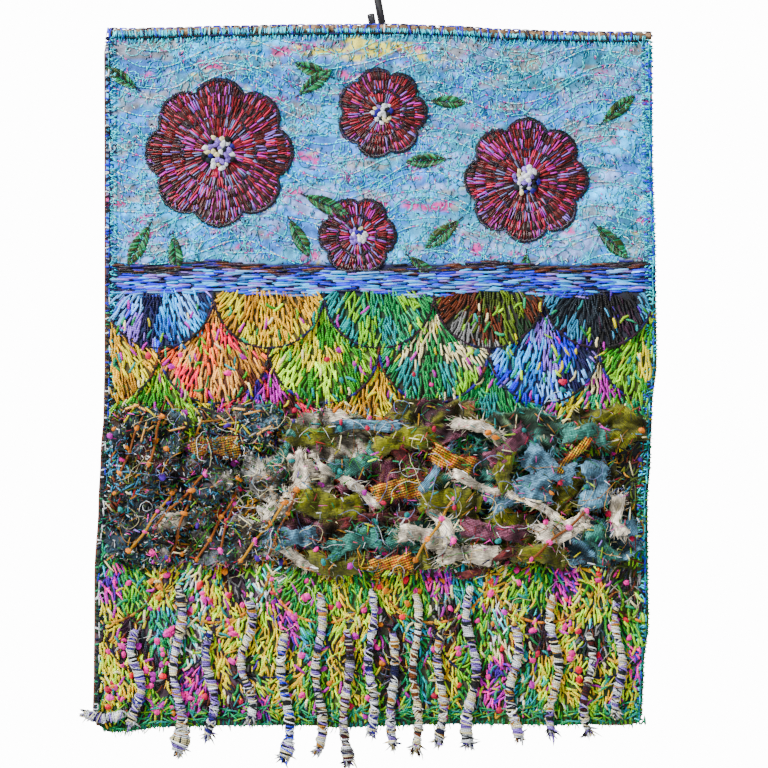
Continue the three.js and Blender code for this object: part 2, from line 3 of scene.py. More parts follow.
import bpy
import numpy as np
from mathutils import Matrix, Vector


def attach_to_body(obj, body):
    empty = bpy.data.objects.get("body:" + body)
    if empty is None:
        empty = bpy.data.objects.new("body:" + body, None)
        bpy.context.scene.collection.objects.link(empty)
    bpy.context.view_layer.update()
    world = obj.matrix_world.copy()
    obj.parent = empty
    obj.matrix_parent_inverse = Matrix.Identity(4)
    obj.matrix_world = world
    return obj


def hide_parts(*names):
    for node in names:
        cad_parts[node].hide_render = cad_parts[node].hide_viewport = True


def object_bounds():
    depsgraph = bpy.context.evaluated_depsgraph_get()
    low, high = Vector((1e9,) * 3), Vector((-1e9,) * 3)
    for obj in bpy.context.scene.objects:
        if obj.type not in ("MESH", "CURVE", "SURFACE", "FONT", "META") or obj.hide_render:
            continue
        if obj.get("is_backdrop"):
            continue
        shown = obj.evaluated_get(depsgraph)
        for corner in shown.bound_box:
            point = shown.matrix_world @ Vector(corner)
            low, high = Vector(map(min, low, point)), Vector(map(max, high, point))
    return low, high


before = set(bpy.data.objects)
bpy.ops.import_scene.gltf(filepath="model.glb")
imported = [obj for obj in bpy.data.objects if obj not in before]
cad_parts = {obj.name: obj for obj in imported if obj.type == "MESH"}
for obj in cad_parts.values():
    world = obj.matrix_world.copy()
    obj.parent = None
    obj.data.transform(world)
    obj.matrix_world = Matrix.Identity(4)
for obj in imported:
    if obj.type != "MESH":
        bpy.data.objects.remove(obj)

cad_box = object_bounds()

# Every length below is in millimetres until it reaches a mesh
MM = 0.001

# Cloth sizes
PANEL_WIDTH = 356.0
HALF_WIDTH = PANEL_WIDTH / 2
PANEL_DROP = 457.0
PANEL_CENTRE_X = -1.2
PANEL_THICKNESS = 3.2
RIM_THICKNESS = 2.2
RIM_ROLL = 8.1
BACKING_THICKNESS = 1.2
BACKING_GAP = 0.45
BINDING_HEIGHT = 5.2
BINDING_DEPTH = 5.6
SEWN_GAP = 0.3
TUCK = 2.4
CORNER_PULL = 2.6
PANEL_BACK_Y = -13.8

# Cells across and down of the cloths' fine faces, and cells that a coarse face takes as one
PANEL_GRID = (176, 224)
PANEL_BACK_STEP = 16
BACKING_GRID = (56, 72)
BACKING_FRONT_STEP = 4
BINDING_STEPS = 300
BINDING_SIDES = 18

# Hook sizes
ROD_DIAMETER = 5.0
ROD_CHAMFER = 0.35
ROD_SIDES = 28
LOWER_BEND = 6.0
UPPER_BEND = 8.0
HOOK_LEAN = math.radians(20.4)
HOOK_YAW = math.radians(30.5)
STUB_ABOVE_EDGE = 7.0
LOWER_BEND_BELOW_EDGE = 11.0
UPPER_TIP = 7.0
SHANK = (LOWER_BEND + UPPER_BEND) / math.tan(HOOK_LEAN)
BEND_DROP = (LOWER_BEND + UPPER_BEND) * math.sin(HOOK_LEAN) + SHANK * math.cos(HOOK_LEAN)
LOWER_CENTRE_Z = -(UPPER_BEND - ROD_DIAMETER / 2) - BEND_DROP
LOWER_SEAT_Z = LOWER_CENTRE_Z - LOWER_BEND + ROD_DIAMETER / 2
PANEL_TOP_Z = LOWER_CENTRE_Z + LOWER_BEND_BELOW_EDGE

# The loop: side, depth or None for the backing's face, how far out of it, and down from the hook's seat
LOOP_DIAMETER = 3.0
LOOP_LEG = ((17, None, 0, 36), (15.5, None, 0.4, 25), (12.5, -6, 0, 13), (8, -1.2, 0, 3.6), (3.2, 0, 0, 0.2))
LOOP_STITCH = ((-2.6, -1.6, 0), (-1.9, -0.2, 0), (0, 1.7, 0.3), (1.9, -0.2, 0.5), (2.6, -1.6, 0.5))

# Side edges: heights down from the top, and how far each edge strays outwards there
SIDE_DOWN = (0, 13, 75, 154, 216, 248, 279, 310, 357, 389, 420, 457)
SIDE_LEFT_OUT = (-1.5, 0, 0, 0, 0, 0.6, 2.6, 4, 6.5, 6.5, 6.7, 7.5)
SIDE_RIGHT_OUT = (-0.5, 0, 0.5, 2.5, 3.3, 0.3, -0.7, -2.6, -2.4, -2, -5.2, -6.7)

# Top edge and hem: places across, how far the top droops and how far the hem reaches there
END_ACROSS = (-186, -174, -160, -143, -100, -48, -26, 8, 45, 84, 118, 150, 182)
END_DROOP = (2.4, 3, 3.2, 2.6, 1.3, 0.3, 0.2, 0, 1.2, 3.4, 4.6, 5.2, 5.4)
END_REACH = (1.5, 4.6, 3.6, 1.4, 0.6, 0.3, 1.8, 0.6, -0.5, -0.3, 0, -1.1, -0.5)

# Soft folds: across, down, half width, half height, how far forward
FOLDS = (
    (-178, 0, 44, 50, 4.2),
    (182, 10, 40, 64, 3.4),
    (-96, 210, 46, 120, 2.2),
    (78, 250, 52, 110, 2.6),
    (-30, 400, 40, 90, 3),
    (124, 452, 46, 60, 3.6),
    (-182, 440, 50, 80, 4.4),
    (30, 120, 34, 60, 1.4),
)

# Raised round flowers: across, down, radius, petals
FLOWERS = ((-104, 84, 48, 8), (96, 102, 40, 8), (2, 58, 29, 7), (-14, 138, 25, 6))
FLOWER_RELIEF = 4.2
PETAL_VALLEY = 0.35
INNER_RING = 0.56
FLOWER_HEART = 0.22

# Leaves beside the flowers: across, down, length, width, direction in degrees
LEAVES = (
    (-48, 112, 30, 10, 24),
    (-58, 128, 26, 9, 62),
    (-150, 132, 28, 10, 118),
    (-134, 138, 24, 9, 84),
    (-52, 46, 26, 9, -38),
    (-158, 42, 24, 8, 214),
    (44, 88, 26, 9, 176),
    (52, 128, 28, 10, 140),
    (142, 132, 28, 10, 46),
    (146, 64, 26, 9, -40),
    (96, 150, 26, 9, 96),
    (34, 50, 22, 8, 4),
    (-32, 34, 24, 8, 200),
    (20, 152, 24, 8, 40),
)

# Quilting, its clouds of colour and its pebbled puffs
QUILT_PITCH = 26.0
QUILT_SWAY = 9.0
QUILT_SWAY_LENGTH = 120.0
QUILT_RELIEF = 1.0
GOLD_WISP = 0.55

# Dyes of the fleece ground: colour, size and seed of its clouds, where they start and how fast they fill
GROUND_LAYERS = (
    ("sky", 46, 31, 0.44, 0.16),
    ("lilac_grey", 30, 41, 0.46, 0.08),
    ("denim", 26, 51, 0.46, 0.08),
    ("deep_turquoise", 34, 61, 0.60, 0.08),
    ("grey", 24, 66, 0.60, 0.06),
    ("magenta_grey", 22, 71, 0.70, 0.06),
)
PEBBLE = 10.5
PUFF = 6.5

# Stitches of the ground: count, palette, lengths, thickness, lift
SEED_STITCHES = (
    (6000, "sparkle", (1.5, 3.0), 0.72, 0.6),
    (1800, "ground", (3, 6), 0.65, 0.75),
    (3600, "needle", (1.0, 2.0), 0.9, 0.35),
)
RING_SHARE = 0.55
RING_STITCHES = 9
RING_THREAD = 0.7
STRAYS = 420
STRAY_STEPS = 5
QUILT_LINES = 19
QUILT_LINE_STITCHES = 150
QUILT_LINE_TOP = 10
QUILT_LINE_PITCH = 8.2
SATIN_PITCH = 1.25
SATIN_COLUMNS = 46
PETAL_ROW = 7.5

# Scales
SCALE_RADIUS = 35.8
SCALE_START = 176.0
SCALE_RELIEF = 3.0
SCALE_CROWN = 0.2
SCALE_VALLEY = 0.05
RIM_YARN = 1.8
SCALE_RIMS = ((0, "outline"), (1, "night"), (2, "top_line"), (5, "rust"), (6, "outline"))
CALM_FROM = 350.0
CALM_SHARE = 0.2

# Fill of each scale, row by row from the top, named after the palettes below
SCALE_FILLS = (
    ("sea", "gold", "leaf", "moss", "plum"),
    ("gold", "peach", "lime", "meadow", "sea", "lime"),
    ("lime", "ember", "gold", "leaf", "meadow"),
    ("slate", "moss", "coral", "moss", "leaf", "slate"),
    ("slate", "rust", "moss", "slate", "moss"),
    ("leaf", "berry", "lime", "meadow", "leaf", "lime"),
    ("berry", "lime", "meadow", "coral", "leaf"),
    ("leaf", "berry", "lime", "meadow", "lime", "leaf"),
    ("berry", "leaf", "meadow", "lime", "leaf"),
)
SATIN_TOP = 157.0
BAND_TOP = 250.0
BAND_FOOT = 354.0
MEADOW_PATCHES = (
    "patch_lime", "patch_yellow", "patch_emerald", "patch_leaf", "patch_berry",
    "patch_lime", "patch_pale", "patch_yellow", "patch_dark", "patch_yellow",
)

# Fans of stitches: name, top, foot, length, thickness, gaps between rows and stitches, seed, spread, cluster
FANS = (
    ("upper_fans", SCALE_START, BAND_TOP + 6, 9, 1.7, 5.2, 2.0, 105, 0.2, 13),
    ("band_fans", BAND_TOP + 6, BAND_FOOT, 7, 1.3, 5.5, 2.4, 106, 0.5, 9),
    ("lower_fans", BAND_FOOT, 470, 8, 1.65, 4.4, 2.2, 107, 0.36, 16),
)

# Thrown stitches: name, count, top, foot, lengths, thickness, palette, seed, lean from upright
THROWN = (
    ("thrown_stitches", 380, BAND_FOOT, 456, (5, 11), 1.6, "bright", 109, 0.6),
    ("bright_stitches", 230, SCALE_START + 6, BAND_TOP, (5, 10), 1.6, "bright", 117, 0.5),
    ("band_stitches", 900, BAND_TOP, BAND_FOOT, (4, 13), 1.1, "band", 110, None),
)

# Scattered knots: name, count, top, foot, radius, palette, seed
KNOTS = (
    ("meadow_knots", 175, 356, 452, 2.1, "knots", 112),
    ("band_knots", 56, 200, 356, 2.0, "band_knots", 113),
)
KNOTS_ACROSS = (-176, 172)
KNOT_CORNER_DOWN = 396.0
HEART_KNOT = 1.9
SCRAP_KNOTS = 60
SCRAP_KNOT = 1.9
COUCHED_KNOT = 1.8
KNOT_SIDES = 8
KNOT_LEVELS = 5
GOLDEN_TURN = 2.39996

# Gathered scraps: across, down, half width, half height, turn in degrees, height, ruffles
SCRAPS = (
    (-150, 266, 23, 14, 8, 6, 6),
    (-91, 262, 26, 14, -8, 6.5, 7),
    (-29, 267, 26, 14, 6, 6.5, 7),
    (33, 261, 25, 14, -9, 7, 6),
    (94, 268, 26, 14, 7, 6.5, 7),
    (149, 263, 22, 14, -6, 6, 6),
    (-124, 300, 26, 15, -7, 7, 7),
    (-61, 298, 26, 15, 9, 7.5, 7),
    (2, 301, 26, 15, -6, 7, 6),
    (64, 298, 26, 15, 8, 7.5, 7),
    (126, 301, 25, 15, -8, 7, 6),
    (-154, 335, 21, 14, 7, 6, 6),
    (-96, 337, 26, 14, -6, 6.5, 7),
    (-34, 334, 26, 14, 8, 6.5, 7),
    (29, 338, 25, 14, -8, 6.5, 6),
    (90, 334, 26, 14, 6, 6.5, 7),
    (146, 338, 21, 14, -7, 6, 6),
)
SCRAP_CLOTHS = ("olive", "blue", "grey", "mauve", "teal")
SCRAP_DYES = {
    "olive": ("cloth_olive", "cloth_moss"),
    "blue": ("cloth_blue", "cloth_slate"),
    "grey": ("cloth_white", "cloth_grey"),
    "mauve": ("cloth_mauve", "cloth_plum"),
    "teal": ("cloth_teal", "cloth_pine"),
    "plum": ("cloth_plum", "brown"),
    "hessian": ("hessian", "rust"),
}

# Couched yarns: across, down, heading in radians
COUCHED_YARNS = (
    (-170, 296, -1.2),
    (-164, 346, -0.95),
    (-148, 330, -0.8),
    (-138, 352, -1.25),
    (-120, 352, -1.05),
    (-104, 346, -1.3),
    (-92, 352, -0.9),
    (-74, 350, -1.15),
    (-150, 290, -1.35),
    (22, 352, -1.0),
    (96, 350, -0.7),
)

# Stitches over the scraps: count, palette, lengths, thickness, right end of their place, foot of it
OVER_STITCHES = (
    (90, "bright", (4, 9), 1.2, 176, BAND_FOOT + 4),
    (150, "band", (5, 12), 0.9, 176, BAND_FOOT + 4),
    (60, "wrap_over", (3, 7), 1.2, 176, BAND_FOOT + 4),
    (3000, "speckle", (1.6, 3.4), 0.65, -60, BAND_FOOT + 4),
    (1200, "scraps", (2, 7), 0.55, 176, BAND_FOOT + 4),
    (34, "straws", (9, 16), 1.6, -70, BAND_TOP + 16),
)
OVER_LEFT = -176
HAIRS = 260
HAIR_STEPS = 14
HAIR_STEP = 2.2
COUCHED_STEPS = 16
COUCHED_STEP = 3.2

# Torn strips laid over the scraps: across, down, length, width, direction in degrees, dye
STRIPS = (
    (-44, 268, 34, 15, 12, "olive"),
    (-16, 286, 30, 13, -30, "teal"),
    (-52, 292, 26, 12, 66, "grey"),
    (14, 272, 36, 16, -8, "olive"),
    (48, 284, 30, 12, 28, "hessian"),
    (-34, 312, 44, 19, 6, "olive"),
    (12, 304, 34, 15, -18, "hessian"),
    (46, 312, 38, 18, 12, "olive"),
    (84, 276, 32, 13, -34, "mauve"),
    (110, 288, 34, 17, 22, "blue"),
    (140, 300, 30, 19, 80, "blue"),
    (92, 306, 40, 17, -12, "blue"),
    (74, 330, 42, 12, 14, "mauve"),
    (120, 328, 36, 15, -24, "grey"),
    (28, 334, 30, 13, 8, "grey"),
    (-16, 338, 34, 15, -14, "teal"),
    (-58, 334, 34, 15, 10, "blue"),
    (-66, 314, 26, 12, -40, "grey"),
    (58, 346, 40, 13, -6, "grey"),
    (104, 346, 34, 14, 10, "olive"),
    (144, 338, 26, 13, 74, "teal"),
    (-30, 352, 34, 13, 4, "olive"),
    (8, 352, 28, 12, -20, "hessian"),
    (134, 268, 28, 12, 8, "teal"),
    (-128, 322, 30, 12, 4, "grey"),
    (-146, 284, 24, 13, 30, "plum"),
    (-106, 276, 30, 14, -12, "hessian"),
    (-20, 300, 46, 6, 38, "grey"),
    (34, 294, 44, 7, -46, "blue"),
    (66, 300, 40, 6, 18, "grey"),
    (0, 322, 50, 7, -10, "plum"),
    (104, 316, 46, 6, 34, "grey"),
    (70, 352, 38, 6, -22, "plum"),
    (-48, 350, 36, 7, 24, "grey"),
    (126, 282, 36, 6, -58, "hessian"),
    (40, 326, 30, 10, 64, "grey"),
    (18, 286, 28, 9, 70, "plum"),
    (82, 292, 26, 12, 84, "olive"),
    (-8, 262, 44, 8, -6, "blue"),
    (64, 264, 34, 8, 22, "grey"),
    (-62, 278, 30, 8, -52, "teal"),
    (156, 320, 26, 9, 80, "grey"),
)
STRIP_LIFT = 0.9
STRIP_FOLD = 6.4
STRIP_CLOTH = 0.5
STRIP_GRID = (12, 24)
SCRAP_RINGS = 12
SCRAP_SECTORS = 64
SCRAP_CRUMPLE = 9.5
SCRAP_WARP = 4.5
SCRAP_FRAYS = 64
SCRAP_EDGE = 2.4
SCRAP_MARGIN = 10.0
SCRAP_FADE = 0.15
SCRAP_GAP = 0.5
SCRAP_CLOTH = 0.7
# Painted shade over the heap of scraps at the left: how dark it gets, and where it starts to lift
DARK_SIDE = 0.4
DARK_SIDE_FROM = -112.0

# Stitches over the side edges: side, pitch, palettes from the top to the foot
SIDE_EDGES = (
    (-1, 3.6, ("left_edge", "left_edge", "left_edge", "left_low", "left_low")),
    (-1, 7.2, ("left_edge", "left_edge", "left_low", "left_low", "left_low")),
    (1, 3.4, ("right_edge", "right_edge", "right_edge", "hem_edge", "hem_edge")),
    (1, 7.2, ("right_edge", "right_edge", "lime", "leaf", "hem_edge")),
)
HEM_PITCHES = (3.2, 6.0)

# Rows inside the edges and along the binding: count of stitches, and pitch where they are even
SIDE_ROW = (250, 1.78)
SIDE_LINE = (84, 5.3)
TOP_ROW = (190, 1.86)
TOP_LINE = (40, 8.8)
RIDGE_ROW = (58, 6.1)
HEM_STITCHES = 420
HEM_ENDS = 150
CLIMBING_STITCHES = 430

# Wrapped cords: across, rise above the hem, tail below it, sway, turns, diameter, size of the end
CORDS = (
    (-158, 66, -6, -3.5, 1.2, 6.4, 1.1),
    (-131, 92, 15.5, 3, 1.5, 6.8, 1.9),
    (-110, 62, 5.5, -3, 1.1, 6.4, 1.1),
    (-86, 84, -5, 4, 1.4, 6, 1),
    (-61, 60, 20, -3, 1, 6.6, 1.5),
    (-39, 88, 15, 2.4, 1.5, 6.2, 1.2),
    (-21, 64, 21, 2.2, 1.1, 6.4, 1.4),
    (-5, 90, 3, 2, 1.5, 6, 1.1),
    (9, 62, 11.5, 1.6, 1, 6.2, 1.3),
    (24, 86, 14, 2, 1.5, 5.8, 1.1),
    (40, 60, 10, -2, 1.1, 6.2, 1.2),
    (60, 90, 11.5, -3.4, 1.4, 6.6, 1.4),
    (88, 66, 7.5, 3.2, 1.2, 6.4, 1.3),
    (114, 86, 4, -3, 1.4, 6, 1.1),
    (136, 60, 4.5, 3, 1, 5.6, 0.9),
    (156, 82, -7, -2.6, 1.3, 6, 1),
)
CORD_WRAPS = (
    "wrap_lilac", "wrap_pale", "wrap_lilac", "wrap_pale", "wrap_blue", "wrap_pale", "wrap_maroon",
    "wrap_lilac", "wrap_pale", "wrap_orange", "wrap_pale", "wrap_lilac", "wrap_pale", "wrap_pale",
    "wrap_maroon", "wrap_pale",
)
CORD_STEP = 7.5
CORD_LUMP = 0.12
CORD_GAP = 0.35
CORD_TAPER = 0.12
CORD_THIN = 0.7
CORD_SLIM = 0.9
CORD_KNOB_AT = 0.93
CORD_KNOB_WIDTH = 0.06
CORD_POINTS = 70
CORE_SIDES = 8
CORD_FRAYS = 48
SIDE_CORD_FRAYS = 22
TANGLES = 22
WRAP_THREAD = 1.1
WRAP_PITCH = 1.2

# The short cord end at the lower left: inner and outer end, height, dip and diameter
SIDE_CORD_INNER = -166.0
SIDE_CORD_OUTER = -191.0
SIDE_CORD_DOWN = 449.0
SIDE_CORD_DIP = 3.0
SIDE_CORD_DIAMETER = 6.6

# The photograph's frame, 768 pixels square, and the scale that the stitching gives
FRAME_PIXELS = 768
MM_PER_PIXEL = 0.652
PANEL_MIDDLE_PIXEL_X = 379
PANEL_TOP_PIXEL_Y = 24
CAMERA_DISTANCE = 2600.0
SENSOR = 36.0

# Lights: name, place and size in metres, power
LIGHTS = (
    ("key", (-1.3, -1.3, 1.15), 0.4, 172),
    ("fill", (1.4, -1.8, 0.1), 1.2, 20),
    ("rim", (0.6, 1.5, 0.9), 1.0, 16),
)
SEEN_WHITE = 14.0
ROOM_LIGHT = 0.45
WHITE = (1.0, 1.0, 1.0, 1.0)
FLOOR_HALF = 3000.0
FLOOR_BELOW = 1150.0

# How far dyes go beyond the colour as seen, in chroma and in contrast
DYE_CHROMA = 1.6
DYE_CONTRAST = 1.5


def srgb(red, green, blue):
    """A colour as seen, 0 to 1, turned into a dye: linear, with more contrast and chroma."""
    seen = np.array((red, green, blue), dtype=float)
    linear = np.where(seen <= 0.04045, seen / 12.92, ((seen + 0.055) / 1.055) ** 2.4)
    grey = linear.mean()
    strong = np.clip(grey + DYE_CHROMA * (linear - grey), 0.003, 0.95)
    return strong**DYE_CONTRAST


COLOURS = {
    "turquoise": srgb(0.24, 0.68, 0.76),
    "aqua": srgb(0.42, 0.85, 0.86),
    "deep_turquoise": srgb(0.08, 0.50, 0.56),
    "sky": srgb(0.50, 0.77, 0.92),
    "pale_blue": srgb(0.66, 0.78, 0.90),
    "lilac": srgb(0.66, 0.60, 0.80),
    "pink_lilac": srgb(0.80, 0.52, 0.72),
    "white": srgb(0.92, 0.93, 0.94),
    "cream": srgb(0.90, 0.88, 0.78),
    "lemon": srgb(0.76, 0.86, 0.06),
    "yellow": srgb(0.80, 0.775, 0.02),
    "gold": srgb(0.80, 0.70, 0.05),
    "straw": srgb(0.82, 0.79, 0.46),
    "mustard": srgb(0.68, 0.57, 0.14),
    "crimson": srgb(0.72, 0.05, 0.44),
    "red": srgb(0.84, 0.10, 0.44),
    "maroon": srgb(0.36, 0.06, 0.14),
    "wine": srgb(0.50, 0.06, 0.22),
    "pink": srgb(0.95, 0.56, 0.80),
    "hot_pink": srgb(0.95, 0.05, 0.72),
    "magenta": srgb(0.72, 0.14, 0.70),
    "purple": srgb(0.42, 0.12, 0.62),
    "violet": srgb(0.30, 0.20, 0.55),
    "plum": srgb(0.26, 0.10, 0.24),
    "black": srgb(0.06, 0.05, 0.07),
    "slate": srgb(0.20, 0.24, 0.27),
    "navy": srgb(0.06, 0.10, 0.32),
    "royal": srgb(0.08, 0.24, 0.76),
    "cobalt": srgb(0.14, 0.42, 0.86),
    "green": srgb(0.02, 0.54, 0.38),
    "emerald": srgb(0.01, 0.62, 0.50),
    "lime": srgb(0.58, 0.72, 0.08),
    "leaf_green": srgb(0.32, 0.55, 0.12),
    "dark_green": srgb(0.05, 0.28, 0.16),
    "teal": srgb(0.06, 0.58, 0.58),
    "olive": srgb(0.44, 0.50, 0.14),
    "moss": srgb(0.34, 0.38, 0.16),
    "orange": srgb(0.80, 0.60, 0.06),
    "coral": srgb(0.90, 0.42, 0.54),
    "salmon": srgb(0.92, 0.60, 0.50),
    "peach": srgb(0.86, 0.74, 0.58),
    "tan": srgb(0.72, 0.60, 0.42),
    "brown": srgb(0.42, 0.28, 0.18),
    "grey": srgb(0.56, 0.56, 0.56),
    "grey_blue": srgb(0.44, 0.60, 0.68),
    "mauve": srgb(0.54, 0.38, 0.48),
    "lilac_grey": srgb(0.62, 0.65, 0.76),
    "denim": srgb(0.30, 0.52, 0.70),
    "magenta_grey": srgb(0.70, 0.34, 0.56),
    "cyan": srgb(0.42, 0.88, 0.92),
    "cloth_olive": srgb(0.48, 0.48, 0.26),
    "cloth_moss": srgb(0.40, 0.41, 0.22),
    "cloth_blue": srgb(0.53, 0.63, 0.68),
    "cloth_slate": srgb(0.39, 0.45, 0.50),
    "cloth_white": srgb(0.86, 0.84, 0.80),
    "cloth_grey": srgb(0.75, 0.73, 0.70),
    "cloth_mauve": srgb(0.55, 0.45, 0.49),
    "cloth_plum": srgb(0.40, 0.24, 0.30),
    "cloth_brown": srgb(0.42, 0.32, 0.30),
    "cloth_teal": srgb(0.44, 0.58, 0.56),
    "cloth_pine": srgb(0.24, 0.40, 0.36),
    "copper": srgb(0.52, 0.38, 0.09),
    "hessian": srgb(0.68, 0.58, 0.28),
    "rust": srgb(0.54, 0.20, 0.18),
    "roll_tan": srgb(0.80, 0.73, 0.65),
    "roll_brown": srgb(0.62, 0.53, 0.46),
}

PALETTES = {
    "ground": ("cyan", "turquoise", "cyan", "aqua", "deep_turquoise", "turquoise"),
    "sparkle": ("cyan", "white", "cyan", "aqua", "pink_lilac", "white", "cyan", "sky"),
    "needle": ("navy", "black", "deep_turquoise", "slate"),
    "sea": ("denim", "royal", "sky", "navy", "cobalt", "pale_blue", "lilac"),
    "peach": ("peach", "tan", "salmon", "peach", "brown", "coral"),
    "night": ("black", "slate", "plum", "black", "violet", "brown"),
    "plum": ("plum", "slate", "purple", "black", "grey_blue"),
    "gold": ("gold", "straw", "yellow", "gold", "mustard"),
    "ember": ("crimson", "magenta", "maroon", "tan", "purple", "leaf_green"),
    "lime": ("lime", "yellow", "lime", "leaf_green", "lemon"),
    "leaf": ("green", "emerald", "teal", "green", "lime"),
    "berry": ("magenta", "purple", "hot_pink", "lilac", "green", "cream"),
    "coral": ("crimson", "gold", "lime", "red", "salmon", "emerald", "crimson"),
    "slate": ("slate", "black", "grey_blue", "brown", "moss"),
    "moss": ("moss", "olive", "brown", "grey", "dark_green"),
    "rust": ("brown", "mustard", "orange", "olive", "tan"),
    "flower": ("crimson", "wine", "maroon", "plum", "maroon", "black", "magenta", "wine", "lilac"),
    "flower_inner": ("wine", "crimson", "maroon", "magenta", "wine", "lilac_grey", "plum"),
    "outline": ("black", "black", "plum", "navy"),
    "leafage": ("dark_green", "green", "moss", "dark_green", "emerald"),
    "knots": ("hot_pink", "crimson", "magenta", "hot_pink", "pink", "red", "orange", "hot_pink"),
    "band_knots": ("crimson", "magenta", "purple", "hot_pink", "teal", "orange"),
    "bright": ("lime", "yellow", "green", "emerald", "lemon", "magenta", "teal", "cream", "leaf_green"),
    "band": ("olive", "grey", "brown", "grey_blue", "tan", "moss", "slate", "cream", "mustard", "rust"),
    "left_inner": ("cyan", "turquoise", "deep_turquoise", "cyan", "navy"),
    "left_low": ("dark_green", "slate", "black", "dark_green", "emerald", "navy", "white"),
    "speckle": (
        "grey_blue", "moss", "slate", "grey", "dark_green", "white",
        "grey", "tan", "grey_blue", "olive", "slate", "leaf_green",
    ),
    "hairs": ("cream", "white", "tan", "lilac_grey", "brown", "leaf_green"),
    "couched_knots": ("orange", "hot_pink", "orange", "pink", "orange"),
    "right_inner": ("cyan", "turquoise", "aqua", "cyan", "cobalt", "deep_turquoise"),
    "top_line": ("black", "navy", "slate", "black"),
    "left_edge": ("navy", "black", "navy", "royal", "black", "white"),
    "right_edge": ("turquoise", "aqua", "cyan", "deep_turquoise", "cobalt"),
    "hem_edge": ("emerald", "green", "teal", "emerald", "lime"),
    "top_edge": ("royal", "navy", "royal", "navy", "white", "royal", "cobalt"),
    "wrap_pale": (
        "white", "cream", "white", "black", "white", "cream", "lilac", "slate", "white", "tan", "navy",
    ),
    "wrap_over": ("white", "cream", "white", "navy", "lilac", "black", "cream"),
    "wrap_lilac": ("lilac", "white", "violet", "white", "cream", "black", "white", "lilac", "slate"),
    "wrap_blue": ("white", "cobalt", "white", "black", "cream", "royal", "white", "slate", "cream"),
    "wrap_maroon": ("maroon", "white", "plum", "cream", "black", "lilac", "white", "grey"),
    "wrap_orange": ("cream", "copper", "white", "brown", "cream", "slate", "white"),
    "felt": ("brown", "brown", "tan"),
    "patch_leaf": ("leaf_green", "green", "dark_green", "lime"),
    "patch_dark": ("black", "slate", "brown", "plum", "grey"),
    "patch_pale": ("cream", "white", "grey", "leaf_green", "aqua"),
    "patch_berry": ("magenta", "hot_pink", "purple", "magenta"),
    "patch_emerald": ("emerald", "teal", "turquoise", "green"),
    "patch_yellow": ("yellow", "lemon", "gold", "yellow"),
    "patch_lime": ("lime", "leaf_green", "lime", "green"),
    "couched": ("copper", "copper", "mustard"),
    "scraps": (
        "moss", "cream", "grey", "brown", "olive", "crimson",
        "teal", "white", "rust", "slate", "emerald", "pink",
    ),
    "straws": ("tan", "straw", "brown", "peach"),
    "meadow": ("lime", "emerald", "yellow", "dark_green", "magenta", "green", "cream", "teal"),
}


def seeded(number):
    return np.random.default_rng(number)


def blend(first, second, share):
    return first + (second - first) * share


def around(count):
    """Angles spread evenly round a circle."""
    return 2 * math.pi * np.arange(count) / count


def turned(middle, level, x, y, degrees):
    """Places given from a middle and turned about it."""
    cos, sin = math.cos(math.radians(degrees)), math.sin(math.radians(degrees))
    return middle + x * cos - y * sin, level + x * sin + y * cos


def read_table(places, values, at):
    """A table read between its entries, eased so that no kink shows at an entry."""
    places = np.asarray(places, dtype=float)
    values = np.asarray(values, dtype=float)
    at = np.asarray(at, dtype=float)
    index = np.clip(np.searchsorted(places, at, side="right") - 1, 0, len(places) - 2)
    share = np.clip((at - places[index]) / (places[index + 1] - places[index]), 0, 1)
    eased = share * share * (3 - 2 * share)
    return blend(values[index], values[index + 1], eased)


def left_edge(down):
    return -HALF_WIDTH - read_table(SIDE_DOWN, SIDE_LEFT_OUT, down)


def right_edge(down):
    return HALF_WIDTH + read_table(SIDE_DOWN, SIDE_RIGHT_OUT, down)


def top_droop(across):
    return read_table(END_ACROSS, END_DROOP, across)


def hem_down(across):
    return PANEL_DROP + read_table(END_ACROSS, END_REACH, across)


def smoothstep(value, low, high):
    share = np.clip((value - low) / (high - low), 0, 1)
    return share * share * (3 - 2 * share)


def bump(offset, width):
    return np.exp(-((offset / width) ** 2))


def fold_depth(across, down):
    return sum(
        forward * bump(across - middle, wide) * bump(down - height, tall)
        for middle, height, wide, tall, forward in FOLDS
    )


def back_y(across, down):
    return PANEL_BACK_Y - fold_depth(across, down)


def lattice(column, row, seed):
    """A repeatable number from 0 to 1 for each lattice point."""
    mixed = np.sin(column * 127.1 + row * 311.7 + seed * 74.7) * 43758.5453
    return mixed - np.floor(mixed)


def between_corners(a, b, c, d, fx, fy):
    """A value between four corners: a and b above, c and d below."""
    return (a * (1 - fx) + b * fx) * (1 - fy) + (c * (1 - fx) + d * fx) * fy


def value_noise(x, y, cell, seed):
    column = np.floor(x / cell)
    row = np.floor(y / cell)
    fx = x / cell - column
    fy = y / cell - row
    corners = [lattice(column + i, row + j, seed) for j in (0, 1) for i in (0, 1)]
    return between_corners(*corners, fx * fx * (3 - 2 * fx), fy * fy * (3 - 2 * fy))


def layered_noise(x, y, cell, seed):
    return (
        0.55 * value_noise(x, y, cell, seed)
        + 0.3 * value_noise(x, y, cell / 2.1, seed + 1)
        + 0.15 * value_noise(x, y, cell / 4.3, seed + 2)
    )


def cell_centre(column, row, pitch, seed):
    x = (column + 0.2 + 0.6 * lattice(column, row, seed)) * pitch
    y = (row + 0.2 + 0.6 * lattice(column, row, seed + 9)) * pitch
    return x, y


def nearest_cell(x, y, pitch, seed):
    """Distance to the nearest of the scattered cell centres, and that centre."""
    column = np.floor(x / pitch)
    row = np.floor(y / pitch)
    best = np.full(np.shape(x), np.inf)
    best_x = np.zeros(np.shape(x))
    best_y = np.zeros(np.shape(x))
    for i in (-1, 0, 1):
        for j in (-1, 0, 1):
            centre_x, centre_y = cell_centre(column + i, row + j, pitch, seed)
            distance = np.hypot(x - centre_x, y - centre_y)
            closer = distance < best
            best = np.where(closer, distance, best)
            best_x = np.where(closer, centre_x, best_x)
            best_y = np.where(closer, centre_y, best_y)
    return best, best_x, best_y


